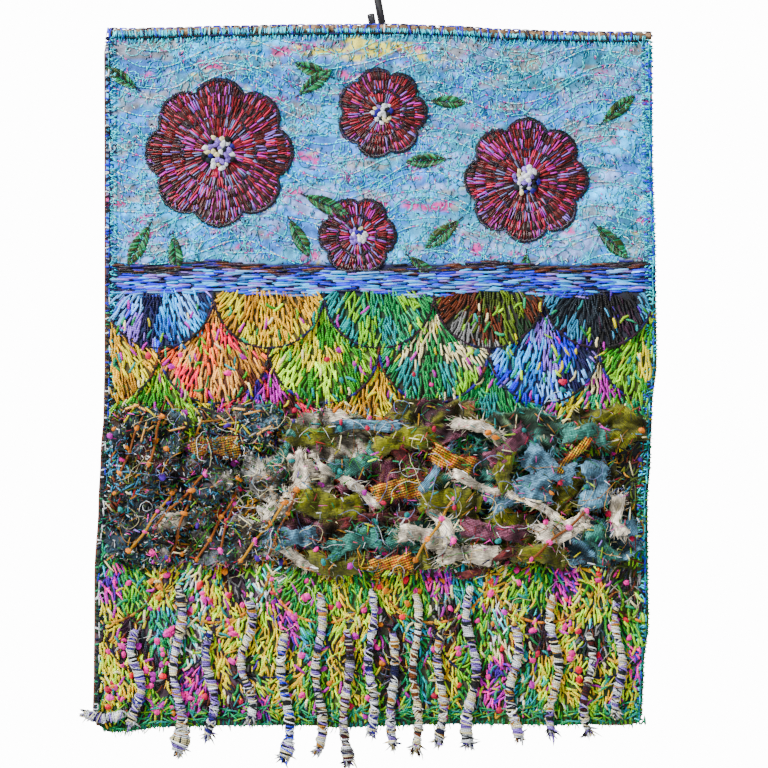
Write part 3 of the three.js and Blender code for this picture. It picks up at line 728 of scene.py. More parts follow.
def flower_relief(across, down):
    height = np.zeros(np.shape(across))
    for middle, level, radius, petals in FLOWERS:
        x = across - middle
        y = down - level
        reach = np.hypot(x, y) / radius
        angle = np.arctan2(y, x)
        lobe = np.abs(np.cos(petals * angle / 2)) ** 0.8
        outer = (PETAL_VALLEY + (1 - PETAL_VALLEY) * lobe) * np.sqrt(np.clip(1 - reach**6, 0, 1))
        inner_lobe = np.abs(np.sin(petals * angle / 2)) ** 0.8
        inner_reach = reach / INNER_RING
        inner = (0.75 + 0.45 * inner_lobe) * np.sqrt(np.clip(1 - inner_reach**6, 0, 1))
        heart = 1.25 * np.sqrt(np.clip(1 - (reach / FLOWER_HEART) ** 4, 0, 1))
        form = np.maximum(np.maximum(outer, inner), heart)
        height = np.maximum(height, FLOWER_RELIEF * form * (reach < 1))
    return height


def quilt_relief(across, down):
    sway = QUILT_SWAY * np.sin(2 * math.pi * across / QUILT_SWAY_LENGTH)
    wave = QUILT_RELIEF * np.abs(np.sin(math.pi * (down + sway) / QUILT_PITCH))
    distance, _, _ = nearest_cell(across, down, PEBBLE, 3)
    puff = 0.9 * np.clip(1 - (distance / (0.55 * PEBBLE)) ** 2, 0, 1)
    return wave + puff


def row_shift(row):
    """Odd rows of scales stand half a scale to the side."""
    return np.where(row % 2 == 0, 0.0, SCALE_RADIUS)


def scale_of(across, down):
    """Row, column and reach of the scale on top at each place."""
    row = np.floor((down - SCALE_START) / SCALE_RADIUS)
    row_down = down - SCALE_START - row * SCALE_RADIUS
    shift = row_shift(row)
    column = np.round((across - shift) / (2 * SCALE_RADIUS))
    reach = np.hypot(across - shift - column * 2 * SCALE_RADIUS, row_down) / SCALE_RADIUS
    row = np.where((reach >= 1) & (row >= 0), row + 1, row)
    column = np.round((across - row_shift(row)) / (2 * SCALE_RADIUS))
    return row, column, reach


def scale_relief(across, down):
    reach = scale_of(across, down)[-1]
    share = np.where(reach < 1, blend(SCALE_CROWN, 1, reach**2), SCALE_VALLEY)
    return SCALE_RELIEF * share * blend(1, CALM_SHARE, smoothstep(down, CALM_FROM - SCALE_RADIUS, CALM_FROM))


def scrap_cover(across, down):
    cover = np.zeros(np.shape(across))
    for middle, level, wide, tall, turn, _, _ in SCRAPS:
        along, aside = turned(0, 0, across - middle, down - level, -turn)
        reach = np.hypot(along / (wide + SCRAP_MARGIN), aside / (tall + SCRAP_MARGIN))
        cover = np.maximum(cover, 1 - smoothstep(reach, 1, 1 + SCRAP_FADE))
    return cover


def relief(across, down):
    upper = np.maximum(flower_relief(across, down), quilt_relief(across, down))
    lower = scale_relief(across, down) * (1 - scrap_cover(across, down))
    return np.where(down < SCALE_START, upper, lower)


def rim_share(across, down):
    """None at the cloth's edge, rising to one where it has its full thickness."""
    side = np.minimum(across - left_edge(down), right_edge(down) - across)
    top = down - top_droop(across) - BINDING_HEIGHT - SEWN_GAP
    end = np.minimum(top, hem_down(across) - down)
    inward = np.clip(np.minimum(side, end) / RIM_ROLL, 0, 1)
    return np.sqrt(np.clip(1 - (1 - inward) ** 2, 0, 1))


def front_y(across, down):
    """Place of the cloth's finished front, with its fine unevenness."""
    lumps = 0.5 * (layered_noise(across, down, 9, 21) - 0.5)
    full = PANEL_THICKNESS + relief(across, down) + lumps
    return back_y(across, down) - RIM_THICKNESS - (full - RIM_THICKNESS) * rim_share(across, down)


def place(across, y, down):
    """Points in the frame of the part, still in millimetres."""
    return np.stack(np.broadcast_arrays(PANEL_CENTRE_X + across, y, PANEL_TOP_Z - down), axis=-1)


def normalised(vectors):
    length = np.linalg.norm(vectors, axis=-1, keepdims=True)
    return vectors / np.maximum(length, 1e-9)


def new_object(name, points, faces, material, smooth=True):
    """A mesh object from points in millimetres and rows of point numbers."""
    mesh = bpy.data.meshes.new(name)
    mesh.vertices.add(len(points))
    mesh.vertices.foreach_set("co", (points * MM).astype(np.float32).ravel())
    mesh.loops.add(faces.size)
    mesh.loops.foreach_set("vertex_index", faces.ravel().astype(np.int32))
    mesh.polygons.add(len(faces))
    mesh.polygons.foreach_set("loop_start", (np.arange(len(faces)) * faces.shape[1]).astype(np.int32))
    mesh.polygons.foreach_set("use_smooth", np.full(len(faces), smooth))
    mesh.update(calc_edges=True)
    mesh.validate()
    mesh.materials.append(material)
    piece = bpy.data.objects.new(name, mesh)
    bpy.context.scene.collection.objects.link(piece)
    return piece


def paint(piece, colours, name="tint"):
    """Gives each point of a piece its own colour."""
    layer = piece.data.color_attributes.new(name, "FLOAT_COLOR", "POINT")
    rgba = np.ones((len(piece.data.vertices), 4), dtype=np.float32)
    rgba[:, :3] = colours
    layer.data.foreach_set("color", rgba.ravel())


def set_vectors(piece, name, vectors):
    layer = piece.data.attributes.new(name, "FLOAT_VECTOR", "POINT")
    layer.data.foreach_set("vector", vectors.astype(np.float32).ravel())


def two_triangles(a, b, c, d):
    return np.concatenate([np.stack([a, b, c], 1), np.stack([a, c, d], 1)])


def grid_faces(index):
    """Triangles of a grid of points, its front outwards."""
    a, b = index[:-1, :-1].ravel(), index[:-1, 1:].ravel()
    c, d = index[1:, 1:].ravel(), index[1:, :-1].ravel()
    return np.concatenate([np.stack([a, d, b], 1), np.stack([b, d, c], 1)])


def grid_rim(index):
    return np.concatenate([index[0, :-1], index[:-1, -1], index[-1, :0:-1], index[:0:-1, 0]])


def walls_behind(rim, depth):
    """Walls from a closed rim of points to the same rim on the other face."""
    after = np.roll(rim, -1)
    return two_triangles(rim, after, after + depth, rim + depth)


def ring_corners(index):
    """The corners of each cell between rings of points, the last point joined to the first."""
    after = np.roll(index, -1, axis=1)
    return index[:-1].ravel(), after[:-1].ravel(), after[1:].ravel(), index[1:].ravel()


def cap(ring, flip=False):
    """A fan of triangles that closes a ring of points."""
    near, far = (ring[1:-1], ring[2:]) if flip else (ring[2:], ring[1:-1])
    return np.stack([np.full(len(ring) - 2, ring[0]), near, far], 1)


def tube(name, rings, material, flip=False):
    """A closed tube through rings of points."""
    count, sides, _ = rings.shape
    index = np.arange(count * sides).reshape(count, sides)
    a, b, c, d = ring_corners(index)
    walls = two_triangles(a, d, c, b) if flip else two_triangles(a, b, c, d)
    faces = np.concatenate([walls, cap(index[0], flip), cap(index[-1], not flip)])
    return new_object(name, rings.reshape(-1, 3), faces, material)


def pick(palette, count, rng, drift=0.16):
    """Thread colours drawn from a palette, each a little lighter or darker than its name."""
    names = PALETTES[palette]
    chosen = np.array([COLOURS[name] for name in names])[rng.integers(0, len(names), count)]
    return chosen * np.exp(rng.normal(0, drift, (count, 1)))


def picked_by(chosen, palettes, rng, drift=0.16):
    """A colour for each thread, from the palette whose number is chosen for it."""
    colours = np.zeros((len(chosen), 3))
    for k, palette in enumerate(palettes):
        here = chosen == k
        colours[here] = pick(palette, here.sum(), rng, drift)
    return colours


class Threads:
    """Collects many threads, each a closed tube along its own row of points."""

    def __init__(self):
        self.points = []
        self.triangles = []
        self.tints = []
        self.twists = []
        self.count = 0

    def add(self, lines, widths, tints, reference=(0, 1, 0), sides=4):
        """Threads along lines (threads, points, 3), pointed at both ends."""
        threads, steps, _ = lines.shape
        if threads == 0:
            return
        tangent = normalised(np.gradient(lines, axis=1))
        reference = np.broadcast_to(np.asarray(reference, dtype=float), tangent.shape)
        side = normalised(np.cross(tangent, reference))
        up = np.cross(side, tangent)
        widths = np.asarray(widths, dtype=float)
        if widths.ndim == 1:
            widths = widths[:, None]
        radius = np.broadcast_to(widths, (threads, steps - 2))[:, :, None, None] / 2
        cos, sin = np.cos(around(sides)), np.sin(around(sides))
        rings = (
            lines[:, 1:-1, None]
            + side[:, 1:-1, None] * cos[None, None, :, None] * radius
            + up[:, 1:-1, None] * sin[None, None, :, None] * radius
        )
        points = np.concatenate([rings.reshape(threads, -1, 3), lines[:, [0, -1]]], axis=1)
        per_thread = points.shape[1]
        faces = []
        last = (steps - 3) * sides
        for k in range(sides):
            after = (k + 1) % sides
            faces.append((per_thread - 2, after, k))
            faces.append((per_thread - 1, last + k, last + after))
            for low in range(0, last, sides):
                high = low + sides
                faces.append((low + k, low + after, high + after))
                faces.append((low + k, high + after, high + k))
        offsets = self.count + per_thread * np.arange(threads)
        self.triangles.append((np.array(faces)[None] + offsets[:, None, None]).reshape(-1, 3))
        self.points.append(points.reshape(-1, 3))
        if tints.ndim == 2:
            tints = np.broadcast_to(tints[:, None], (threads, steps, 3))
        ring_tints = np.broadcast_to(tints[:, 1:-1, None], (threads, steps - 2, sides, 3))
        tints = np.concatenate([ring_tints.reshape(threads, -1, 3), tints[:, [0, -1]]], axis=1)
        self.tints.append(tints.reshape(-1, 3))
        lengths = np.linalg.norm(np.diff(lines, axis=1), axis=-1)
        run = np.concatenate([np.zeros((threads, 1)), np.cumsum(lengths, axis=1)], axis=1)
        twist = np.zeros((threads, per_thread, 3))
        twist[:, :-2, 0] = np.repeat(run[:, 1:-1], sides, axis=1)
        twist[:, :-2, 1] = np.tile(cos, steps - 2)[None]
        twist[:, :-2, 2] = np.tile(sin, steps - 2)[None]
        twist[:, -1, 0] = run[:, -1]
        self.twists.append(twist.reshape(-1, 3))
        self.count += threads * per_thread

    def sew(self, ends, lift, width, colours, keep=slice(None), steps=4, dive=0.3, sides=3, **laying):
        """Straight stitches over the cloth, for those of the ends that are kept."""
        lines = laid(*(end[keep] for end in ends), lift, steps, dive, **laying)
        self.add(lines, width, colours, sides=sides)

    def build(self, name, material):
        piece = new_object(name, np.concatenate(self.points), np.concatenate(self.triangles), material)
        paint(piece, np.concatenate(self.tints))
        set_vectors(piece, "twist", np.concatenate(self.twists))
        return piece


def laid(x0, d0, x1, d1, lift, steps, dive, surface=front_y, bow=0.0):
    """Lines that lie on a surface from one place to another, their ends sunk into it."""
    share = np.concatenate([[0], np.linspace(0.12, 0.88, steps - 2), [1]])
    length = np.maximum(np.hypot(x1 - x0, d1 - d0), 1e-6)
    sideways = (bow / length)[:, None] * np.sin(math.pi * share)
    across = blend(x0[:, None], x1[:, None], share) + (d1 - d0)[:, None] * sideways
    down = blend(d0[:, None], d1[:, None], share) - (x1 - x0)[:, None] * sideways
    rest = surface(across, down)
    chord = blend(rest[:, :1], rest[:, -1:], share)
    y = np.minimum(rest, chord) - lift * np.sin(math.pi * np.clip(share, 0.06, 0.94)) ** 0.5
    y[:, 0] = rest[:, 0] + dive
    y[:, -1] = rest[:, -1] + dive
    return place(across, y, down)


def stroke(x, d, half, angle):
    """Both ends of straight stitches about the given places: x0, d0, x1, d1."""
    reach_x, reach_d = half * np.cos(angle), half * np.sin(angle)
    return x - reach_x, d - reach_d, x + reach_x, d + reach_d


def links(x, d):
    """Ends of the stitches that follow each other along rows of places."""
    return x[..., :-1].ravel(), d[..., :-1].ravel(), x[..., 1:].ravel(), d[..., 1:].ravel()


def both(test, ends, *settings):
    """True for the stitches whose two ends both pass a test."""
    x0, d0, x1, d1 = ends
    return test(x0, d0, *settings) & test(x1, d1, *settings)


def inside_cloth(across, down, margin=1.5):
    wide = (across > left_edge(down) + margin) & (across < right_edge(down) - margin)
    tall = (down > top_droop(across) + BINDING_HEIGHT + margin) & (down < hem_down(across) - margin)
    return wide & tall


def petal_edge(angle, radius, petals, shift):
    """How far the petals reach from a flower's middle in each direction."""
    lobe = np.abs(np.cos(petals * (angle - shift) / 2)) ** 0.7
    return radius * (0.84 + 0.15 * lobe)


def flower_reach(across, down):
    """Distance to a flower's middle, as a share of its petals' reach that way."""
    reach = np.full(np.shape(across), np.inf)
    for middle, level, radius, petals in FLOWERS:
        angle = np.arctan2(down - level, across - middle)
        here = np.hypot(across - middle, down - level) / petal_edge(angle, radius, petals, 0.0)
        reach = np.minimum(reach, here)
    return reach


def clear_of_flowers(across, down, share=1.0):
    return flower_reach(across, down) > share


def on_ground(across, down):
    """True on the quilted ground above the satin band, flowers left out."""
    return inside_cloth(across, down) & (down < SATIN_TOP) & clear_of_flowers(across, down)


# Materials
def new_material(name):
    material = bpy.data.materials.new(name)
    material.use_nodes = True
    tree = material.node_tree
    return material, tree, tree.nodes["Principled BSDF"]


def connect(tree, made, sockets):
    """Links the sockets of a node to others, or gives them constant values."""
    for key, value in sockets.items():
        if isinstance(value, bpy.types.NodeSocket):
            tree.links.new(value, made.inputs[key])
        else:
            made.inputs[key].default_value = value


def node(tree, kind, sockets, output=None, **options):
    """A new node with its options and sockets set; gives the named output, or the node."""
    made = tree.nodes.new("ShaderNode" + kind)
    for key, value in options.items():
        setattr(made, key, value)
    connect(tree, made, sockets)
    return made if output is None else made.outputs[output]


def attribute(tree, name, output):
    return node(tree, "Attribute", {}, output, attribute_name=name)


def maths(tree, operation, *values):
    return node(tree, "Math", dict(enumerate(values)), "Value", operation=operation)


def multiply_colours(tree, colour, *others):
    for other in others:
        sockets = {"Factor": 1.0, "A": colour, "B": other}
        colour = node(tree, "Mix", sockets, "Result", data_type="RGBA", blend_type="MULTIPLY")
    return colour


def grey_range(tree, value, low, high, inner=0.0):
    """Turns a value from 0 to 1 into a grey between low and high, for shading a colour."""
    sockets = {"From Min": inner, "From Max": 1 - inner, "To Min": low, "To Max": high, "Value": value}
    return node(tree, "MapRange", sockets, "Result")


def noise(tree, where, scale, detail, stretch):
    drawn = node(tree, "Mapping", {"Scale": stretch, "Vector": where}, "Vector")
    return node(tree, "TexNoise", {"Scale": scale, "Detail": detail, "Vector": drawn}, "Fac")


def place_texture(tree, scale, detail=2.0, stretch=(1, 1, 1)):
    return noise(tree, node(tree, "TexCoord", {}, "Object"), scale, detail, stretch)


def bump_normal(tree, height, strength, distance):
    return node(tree, "Bump", {"Strength": strength, "Distance": distance, "Height": height}, "Normal")


def two_tones(tree, share, dark, light):
    tone = node(tree, "ValToRGB", {"Fac": share})
    for element, grey in zip(tone.color_ramp.elements, (dark, light)):
        element.color = (*grey, 1)
    return tone.outputs["Color"]


def thread_material(name, roughness, sheen, twist_length, depth, gloss):
    """Spun thread: its own tint, shaded by the plies that twist round it."""
    material, tree, shader = new_material(name)
    split = node(tree, "SeparateXYZ", {"Vector": attribute(tree, "twist", "Vector")}).outputs
    turn = maths(tree, "ARCTAN2", split["Z"], split["Y"])
    along = maths(tree, "MULTIPLY", split["X"], 2 * math.pi / twist_length)
    ply = maths(tree, "SINE", maths(tree, "MULTIPLY", maths(tree, "ADD", turn, along), 2.0))
    level = node(tree, "MapRange", {"From Min": -1.0, "Value": ply}, "Result")
    shade = grey_range(tree, level, 0.62, 1.12)
    fuzz = grey_range(tree, place_texture(tree, 1800), 0.72, 1.25)
    connect(tree, shader, {
        "Base Color": multiply_colours(tree, attribute(tree, "tint", "Color"), shade, fuzz),
        "Normal": bump_normal(tree, level, depth, 0.0003),
        "Roughness": roughness,
        "Sheen Weight": sheen,
        "Sheen Roughness": 0.4,
        "Specular IOR Level": gloss,
    })
    return material


def fleece_material(name, weave_scale, roughness, sheen, depth, puff=None):
    """Felted fleece or cloth: its own tint, broken up by fibres of two sizes, with painted shade between its
    puffs if it has them.
    """
    material, tree, shader = new_material(name)
    fibre = place_texture(tree, weave_scale, 6.0, (1, 1, 2.2))
    fine = grey_range(tree, fibre, 0.6, 1.4, 0.25)
    broad = grey_range(tree, place_texture(tree, weave_scale / 9, 3.0), 0.7, 1.25)
    colour = multiply_colours(tree, attribute(tree, "tint", "Color"), fine, broad)
    normal = bump_normal(tree, fibre, depth, 0.0006)
    if puff:
        where = node(tree, "TexCoord", {}, "Object")
        sockets = {"Scale": 1 / (puff * MM), "Randomness": 0.9, "Vector": where}
        cells = node(tree, "TexVoronoi", sockets, "Distance")
        # Painted highlight and shade: each puff lighter in its middle and darker at its borders
        colour = multiply_colours(tree, colour, grey_range(tree, cells, 1.3, 0.45))
        sockets = {"Strength": 0.7, "Distance": 0.25 * puff * MM, "Height": cells, "Normal": normal}
        normal = node(tree, "Bump", sockets, "Normal", invert=True)
    connect(tree, shader, {
        "Base Color": colour,
        "Normal": normal,
        "Roughness": roughness,
        "Sheen Weight": sheen,
        "Sheen Roughness": 0.5,
    })
    return material


def woven_material(name, pitch, weave=0.3):
    """Woven cloth: yarns of two colours that cross at the given pitch in metres, with slubs."""
    material, tree, shader = new_material(name)
    where = attribute(tree, "weave", "Vector")
    wave = {"Scale": 0.314 / pitch, "Distortion": 1.2, "Detail": 1.0, "Vector": where}
    yarns = [node(tree, "TexWave", wave, "Fac", bands_direction=direction) for direction in "XY"]
    crossing = maths(tree, "MAXIMUM", *yarns)
    over = maths(tree, "GREATER_THAN", *yarns)
    warp_and_weft = {
        "Factor": over,
        "A": attribute(tree, "tint", "Color"),
        "B": attribute(tree, "weft", "Color"),
    }
    tint = node(tree, "Mix", warp_and_weft, "Result", data_type="RGBA")
    shade = grey_range(tree, crossing, 1 - weave, 1 + weave / 2)
    uneven = grey_range(tree, place_texture(tree, 260, 4.0), 0.5, 1.45, 0.25)
    fibrous = grey_range(tree, noise(tree, where, 1300, 3.0, (0.22, 1, 1)), 0.35, 1.6, 0.3)
    connect(tree, shader, {
        "Base Color": multiply_colours(tree, tint, shade, uneven, fibrous),
        "Normal": bump_normal(tree, crossing, 0.9, 0.0004),
        "Roughness": 0.95,
        "Sheen Weight": 0.1,
        "Specular IOR Level": 0.2,
    })
    return material


def rod_material():
    """Black enamelled rod with faint drawn streaks."""
    material, tree, shader = new_material("black_enamel")
    streak = place_texture(tree, 900, 3.0, (1, 1, 0.12))
    connect(tree, shader, {
        "Base Color": two_tones(tree, streak, (0.006, 0.006, 0.007), (0.022, 0.022, 0.025)),
        "Roughness": grey_range(tree, streak, 0.2, 0.34),
        "Coat Weight": 0.4,
        "Coat Roughness": 0.12,
    })
    return material


def floor_material():
    material, tree, shader = new_material("pale_floor")
    mottle = place_texture(tree, 3)
    connect(tree, shader, {
        "Base Color": two_tones(tree, mottle, (0.78, 0.78, 0.78), (0.82, 0.82, 0.82)),
        "Roughness": 0.9,
    })
    return material


SILK = thread_material("silk_thread", 0.34, 0.05, 1.6, 0.5, 0.4)
WOOL = thread_material("wool_thread", 0.55, 0.05, 2.6, 0.8, 0.22)
FLEECE = fleece_material("fleece_ground", 1100, 0.95, 0.1, 0.5, PUFF)
FELT = fleece_material("felt_back", 300, 0.98, 0.2, 0.4)
GAUZE = woven_material("torn_gauze", 0.0010)
HESSIAN = woven_material("coarse_hessian", 0.0016, 0.7)


# The cloth and its backing
class Sheet:
    """A closed sheet over a grid, fine on one face and coarse on the other."""

    def __init__(self, columns, rows):
        self.columns = columns
        self.rows = rows

    def places(self, grow=None):
        """Across and down of each grid point, drawn in at the corners."""
        i, j = np.meshgrid(np.arange(self.columns + 1), np.arange(self.rows + 1))
        u = i / self.columns
        v = j / self.rows
        level = v * PANEL_DROP
        across = blend(left_edge(level), right_edge(level), u)
        top = top_droop(across) + BINDING_HEIGHT - TUCK
        down = blend(top, hem_down(across), v)
        side = np.minimum(u, 1 - u) * PANEL_WIDTH
        end = np.minimum(v, 1 - v) * PANEL_DROP
        corner = CORNER_PULL * np.clip(1 - np.maximum(side, end) / RIM_ROLL, 0, 1)
        across = across + np.where(u < 0.5, corner, -corner)
        down = down + np.where(v < 0.5, corner, -corner)
        if grow is not None:
            more = grow(across, down)
            across = across + more * ((i == self.columns) * 1.0 - (i == 0) * 1.0)
            down = down + more * (j == self.rows)
        return across, down

    def face(self, index, step, facing_back):
        """Triangles of one face: fine cells, or coarse ones that still meet every rim point."""
        triangles = []
        for j in range(0, self.rows, step):
            for i in range(0, self.columns, step):
                east, south = i + step, j + step
                ring = [index[j, i + k] for k in range(step if j == 0 else 1)]
                ring += [index[j + k, east] for k in range(step if east == self.columns else 1)]
                ring += [index[south, east - k] for k in range(step if south == self.rows else 1)]
                ring += [index[south - k, i] for k in range(step if i == 0 else 1)]
                apex = index[j if south == self.rows else south, i if east == self.columns else east]
                for start, after in zip(ring, ring[1:] + ring[:1]):
                    if apex not in (start, after):
                        triangles.append((apex, start, after) if facing_back else (apex, after, start))
        return np.array(triangles)

    def build(self, name, material, front, back, tints, front_step, back_step):
        total = (self.columns + 1) * (self.rows + 1)
        index = np.arange(total).reshape(self.rows + 1, self.columns + 1)
        front_faces = grid_faces(index) if front_step == 1 else self.face(index, front_step, False)
        back_faces = self.face(index + total, back_step, True)
        faces = np.concatenate([front_faces, back_faces, walls_behind(grid_rim(index), total)])
        used = np.unique(faces)
        renumber = np.zeros(2 * total, dtype=int)
        renumber[used] = np.arange(len(used))
        points = np.concatenate([front.reshape(-1, 3), back.reshape(-1, 3)])[used]
        piece = new_object(name, points, renumber[faces], material)
        paint(piece, np.concatenate([tints.reshape(-1, 3)] * 2)[used])
        return piece


def ground_tint(across, down):
    """Fleece of the quilted ground: blues and lilacs laid over each other, with warm wisps."""
    tint = np.ones(np.shape(across) + (3,)) * COLOURS["grey_blue"]
    for name, cell, seed, start, spread in GROUND_LAYERS:
        amount = smoothstep(layered_noise(across, down * 2.6, cell, seed), start, start + spread)
        tint = blend(tint, COLOURS[name], np.clip(0.85 * amount, 0, 1)[..., None])
    wisp = layered_noise(across, down * 3, 14, 89) + GOLD_WISP * bump(across + 6, 46) * bump(down - 17, 8)
    amount = smoothstep(wisp, 0.75, 0.95)
    tint = blend(tint, COLOURS["yellow"], np.clip(0.85 * amount, 0, 1)[..., None])
    streak = 0.36 + 1.0 * layered_noise(across * 2.2, down * 0.9, 4, 95)
    lighter = 1.35 + 0.4 * smoothstep(down, 10, 120)
    return tint * (streak * lighter)[..., None]


def palette_mean(name):
    return np.mean([COLOURS[entry] for entry in PALETTES[name]], axis=0)


def fill_name(row, column):
    fills = SCALE_FILLS[int(np.clip(row, 0, len(SCALE_FILLS) - 1))]
    shift = 2 if row % 2 == 0 else 3
    return fills[int(np.clip(column + shift, 0, len(fills) - 1))]


def panel_tint(across, down):
    tint = ground_tint(across, down)
    row, column, _ = scale_of(across, down)
    for r in np.unique(row[row >= 0]):
        for c in np.unique(column[row == r]):
            here = (row == r) & (column == c)
            # Painted shade: the cloth under each scale's stitches is near black, so the gaps between the
            # stitches read dark
            tint[here] = palette_mean(fill_name(r, c)) * 0.1
    tint[(down > SATIN_TOP) & (row < 0)] = COLOURS["navy"]
    # Painted shadow: a navy band on the cloth just under the rolled edge
    tint[down < top_droop(across) + BINDING_HEIGHT + 2.2] = COLOURS["navy"]
    tint[flower_reach(across, down) < 1] = COLOURS["maroon"] * 0.4
    shade = 0.7 + 0.6 * layered_noise(across, down, 14, 91)
    return tint * shade[..., None]


def make_panel():
    sheet = Sheet(*PANEL_GRID)
    across, down = sheet.places()
    front = place(across, front_y(across, down), down)
    back = place(across, back_y(across, down), down)
    tints = panel_tint(across, down)
    return sheet.build("stitched_panel", FLEECE, front, back, tints, 1, PANEL_BACK_STEP)


def backing_shows(across, down):
    lower_right = smoothstep(down, 440, 452) * smoothstep(across, 120, 150)
    right = -1.5 + 3.1 * lower_right
    left = np.where(down > PANEL_DROP, -1.5, 1.4)
    return np.where(across < 0, left, right)


def make_backing():
    sheet = Sheet(*BACKING_GRID)
    y = back_y(*sheet.places()) + BACKING_GAP
    across, down = sheet.places(backing_shows)
    tint = COLOURS["brown"] * (0.8 + 0.4 * layered_noise(across, down, 30, 5))[..., None]
    front = place(across, y, down)
    back = place(across, y + BACKING_THICKNESS, down)
    return sheet.build("felt_backing", FELT, front, back, tint, BACKING_FRONT_STEP, 1)


# Stitching of the ground
def ring_stitches(threads, centre_x, centre_down, radius, rng):
    """Small stitches in a closed wobbly ring round each centre."""
    start = rng.uniform(0, 2 * math.pi, len(centre_x))[:, None]
    angle = start + 2 * math.pi * np.arange(RING_STITCHES + 1)[None] / RING_STITCHES
    wobble = 1 + 0.16 * np.sin(2 * angle + start * 3) + rng.normal(0, 0.05, angle.shape)
    wobble[:, -1] = wobble[:, 0]
    x = centre_x[:, None] + radius[:, None] * wobble * np.cos(angle)
    d = centre_down[:, None] + radius[:, None] * wobble * np.sin(angle) * 0.85
    ends = links(x, d)
    keep = both(on_ground, ends)
    colours = np.repeat(pick("ground", len(centre_x), rng), RING_STITCHES, axis=0)[keep]
    threads.sew(ends, 0.7 * RING_THREAD, RING_THREAD, colours, keep, dive=0.25)


def make_ground_stitches():
    rng = seeded(101)
    threads = Threads()
    column, row = np.meshgrid(np.arange(-20.0, 20.0), np.arange(0.0, 17.0))
    x, d = cell_centre(column.ravel(), row.ravel(), PEBBLE, 3)
    near = (np.abs(x) < HALF_WIDTH + PEBBLE) & (rng.random(len(x)) < RING_SHARE)
    x, d = x[near], d[near]
    ring_stitches(threads, x, d, rng.uniform(3.6, 5.8, len(x)), rng)
    return threads.build("ground_stitches", SILK)


def make_seed_stitches():
    """Tiny machine stitches and needle marks that cover the ground in patches."""
    rng = seeded(131)
    threads = Threads()
    for count, palette, length, width, lift in SEED_STITCHES:
        x = rng.uniform(-HALF_WIDTH, HALF_WIDTH, count)
        d = rng.uniform(4, SATIN_TOP, count)
        dense = smoothstep(layered_noise(x, d * 1.5, 17, 140), 0.30, 0.62)
        angle = rng.normal(math.pi / 2, 0.75, count)
        ends = stroke(x, d, rng.uniform(*length, count) / 2, angle)
        keep = both(on_ground, ends) & (rng.random(count) < 0.18 + 0.82 * dense)
        threads.sew(ends, lift, width, pick(palette, keep.sum(), rng, 0.25), keep, dive=0.2)
    return threads.build("seed_stitches", SILK)


def make_stray_stitches():
    """Long thin threads that wander up and down between the quilted rows."""
    rng = seeded(132)
    threads = Threads()
    x = rng.uniform(-HALF_WIDTH, HALF_WIDTH, STRAYS)
    d = rng.uniform(6, SATIN_TOP, STRAYS)
    heading = rng.normal(math.pi / 2, 0.35, STRAYS)
    for _ in range(STRAY_STEPS):
        heading = heading + rng.normal(0, 0.5, STRAYS)
        step = rng.uniform(2.5, 4.5, STRAYS)
        ends = (x, d, x + step * np.cos(heading), d + step * np.sin(heading))
        keep = both(on_ground, ends)
        threads.sew(ends, 0.95, 0.8, pick("ground", keep.sum(), rng, 0.1), keep, dive=0.1)
        x, d = ends[2:]
    return threads.build("stray_stitches", SILK)


def make_satin_band():
    """Level satin stitches in blues, in a band between the ground and the scales."""
    rng = seeded(133)
    threads = Threads()
    level = SATIN_TOP
    count = SATIN_COLUMNS
    while level < SCALE_START + 1:
        x0 = -HALF_WIDTH + (np.arange(count) + rng.uniform(-0.4, 0.4, count)) * PANEL_WIDTH / count
        length = rng.uniform(9, 15, count)
        wave = 2.0 * np.sin(2 * math.pi * x0 / 90)
        d0 = level + wave + rng.normal(0, 0.35, count)
        d1 = d0 + rng.normal(0, 0.7, count)
        ends = (x0, d0, x0 + length, d1)
        keep = both(inside_cloth, ends, 2) & both(clear_of_flowers, ends, 1.02) & (d0 < SCALE_START + 2)
        palette = "night" if level < SATIN_TOP + 5 else "sea"
        threads.sew(ends, 1.1, 1.5, pick(palette, keep.sum(), rng, 0.2), keep, steps=5, sides=4)
        level += SATIN_PITCH
    return threads.build("satin_band", SILK)


def make_quilt_lines():
    """Long wavy lines of machine stitches across the ground."""
    rng = seeded(102)
    threads = Threads()
    x = np.linspace(-HALF_WIDTH, HALF_WIDTH, QUILT_LINE_STITCHES + 1)
    for line in range(QUILT_LINES):
        base = QUILT_LINE_TOP + line * QUILT_LINE_PITCH
        sway = QUILT_SWAY * np.sin(2 * math.pi * x / QUILT_SWAY_LENGTH)
        wander = 9 * (value_noise(x, np.full(x.shape, base), 22, 200 + line) - 0.5)
        ends = links(x, base - sway + wander)
        keep = both(on_ground, ends)
        colours = pick("sparkle", QUILT_LINE_STITCHES, rng)[keep]
        threads.sew(ends, 0.7, 0.75, colours, keep, dive=0.4)
    return threads.build("quilt_lines", SILK)


# Flowers and leaves
def rays(middle, level, reach, angle):
    """Places at a reach from a middle, in the given directions."""
    return middle + reach * np.cos(angle), level + reach * np.sin(angle)


def petal_outline(threads, flower, scale, shift, width, rng):
    middle, level, radius, petals = flower
    count = int(2 * math.pi * radius * scale * 1.15 / 1.0)
    angle = around(count)
    edge = petal_edge(angle, radius * scale, petals, shift)
    ends = rays(middle, level, edge - 1.5 + rng.normal(0, 0.3, count), angle)
    ends += rays(middle, level, edge + 1.5 + rng.normal(0, 0.3, count), angle + 0.5 / edge)
    threads.sew(ends, 0.9, width, pick("outline", count, rng))


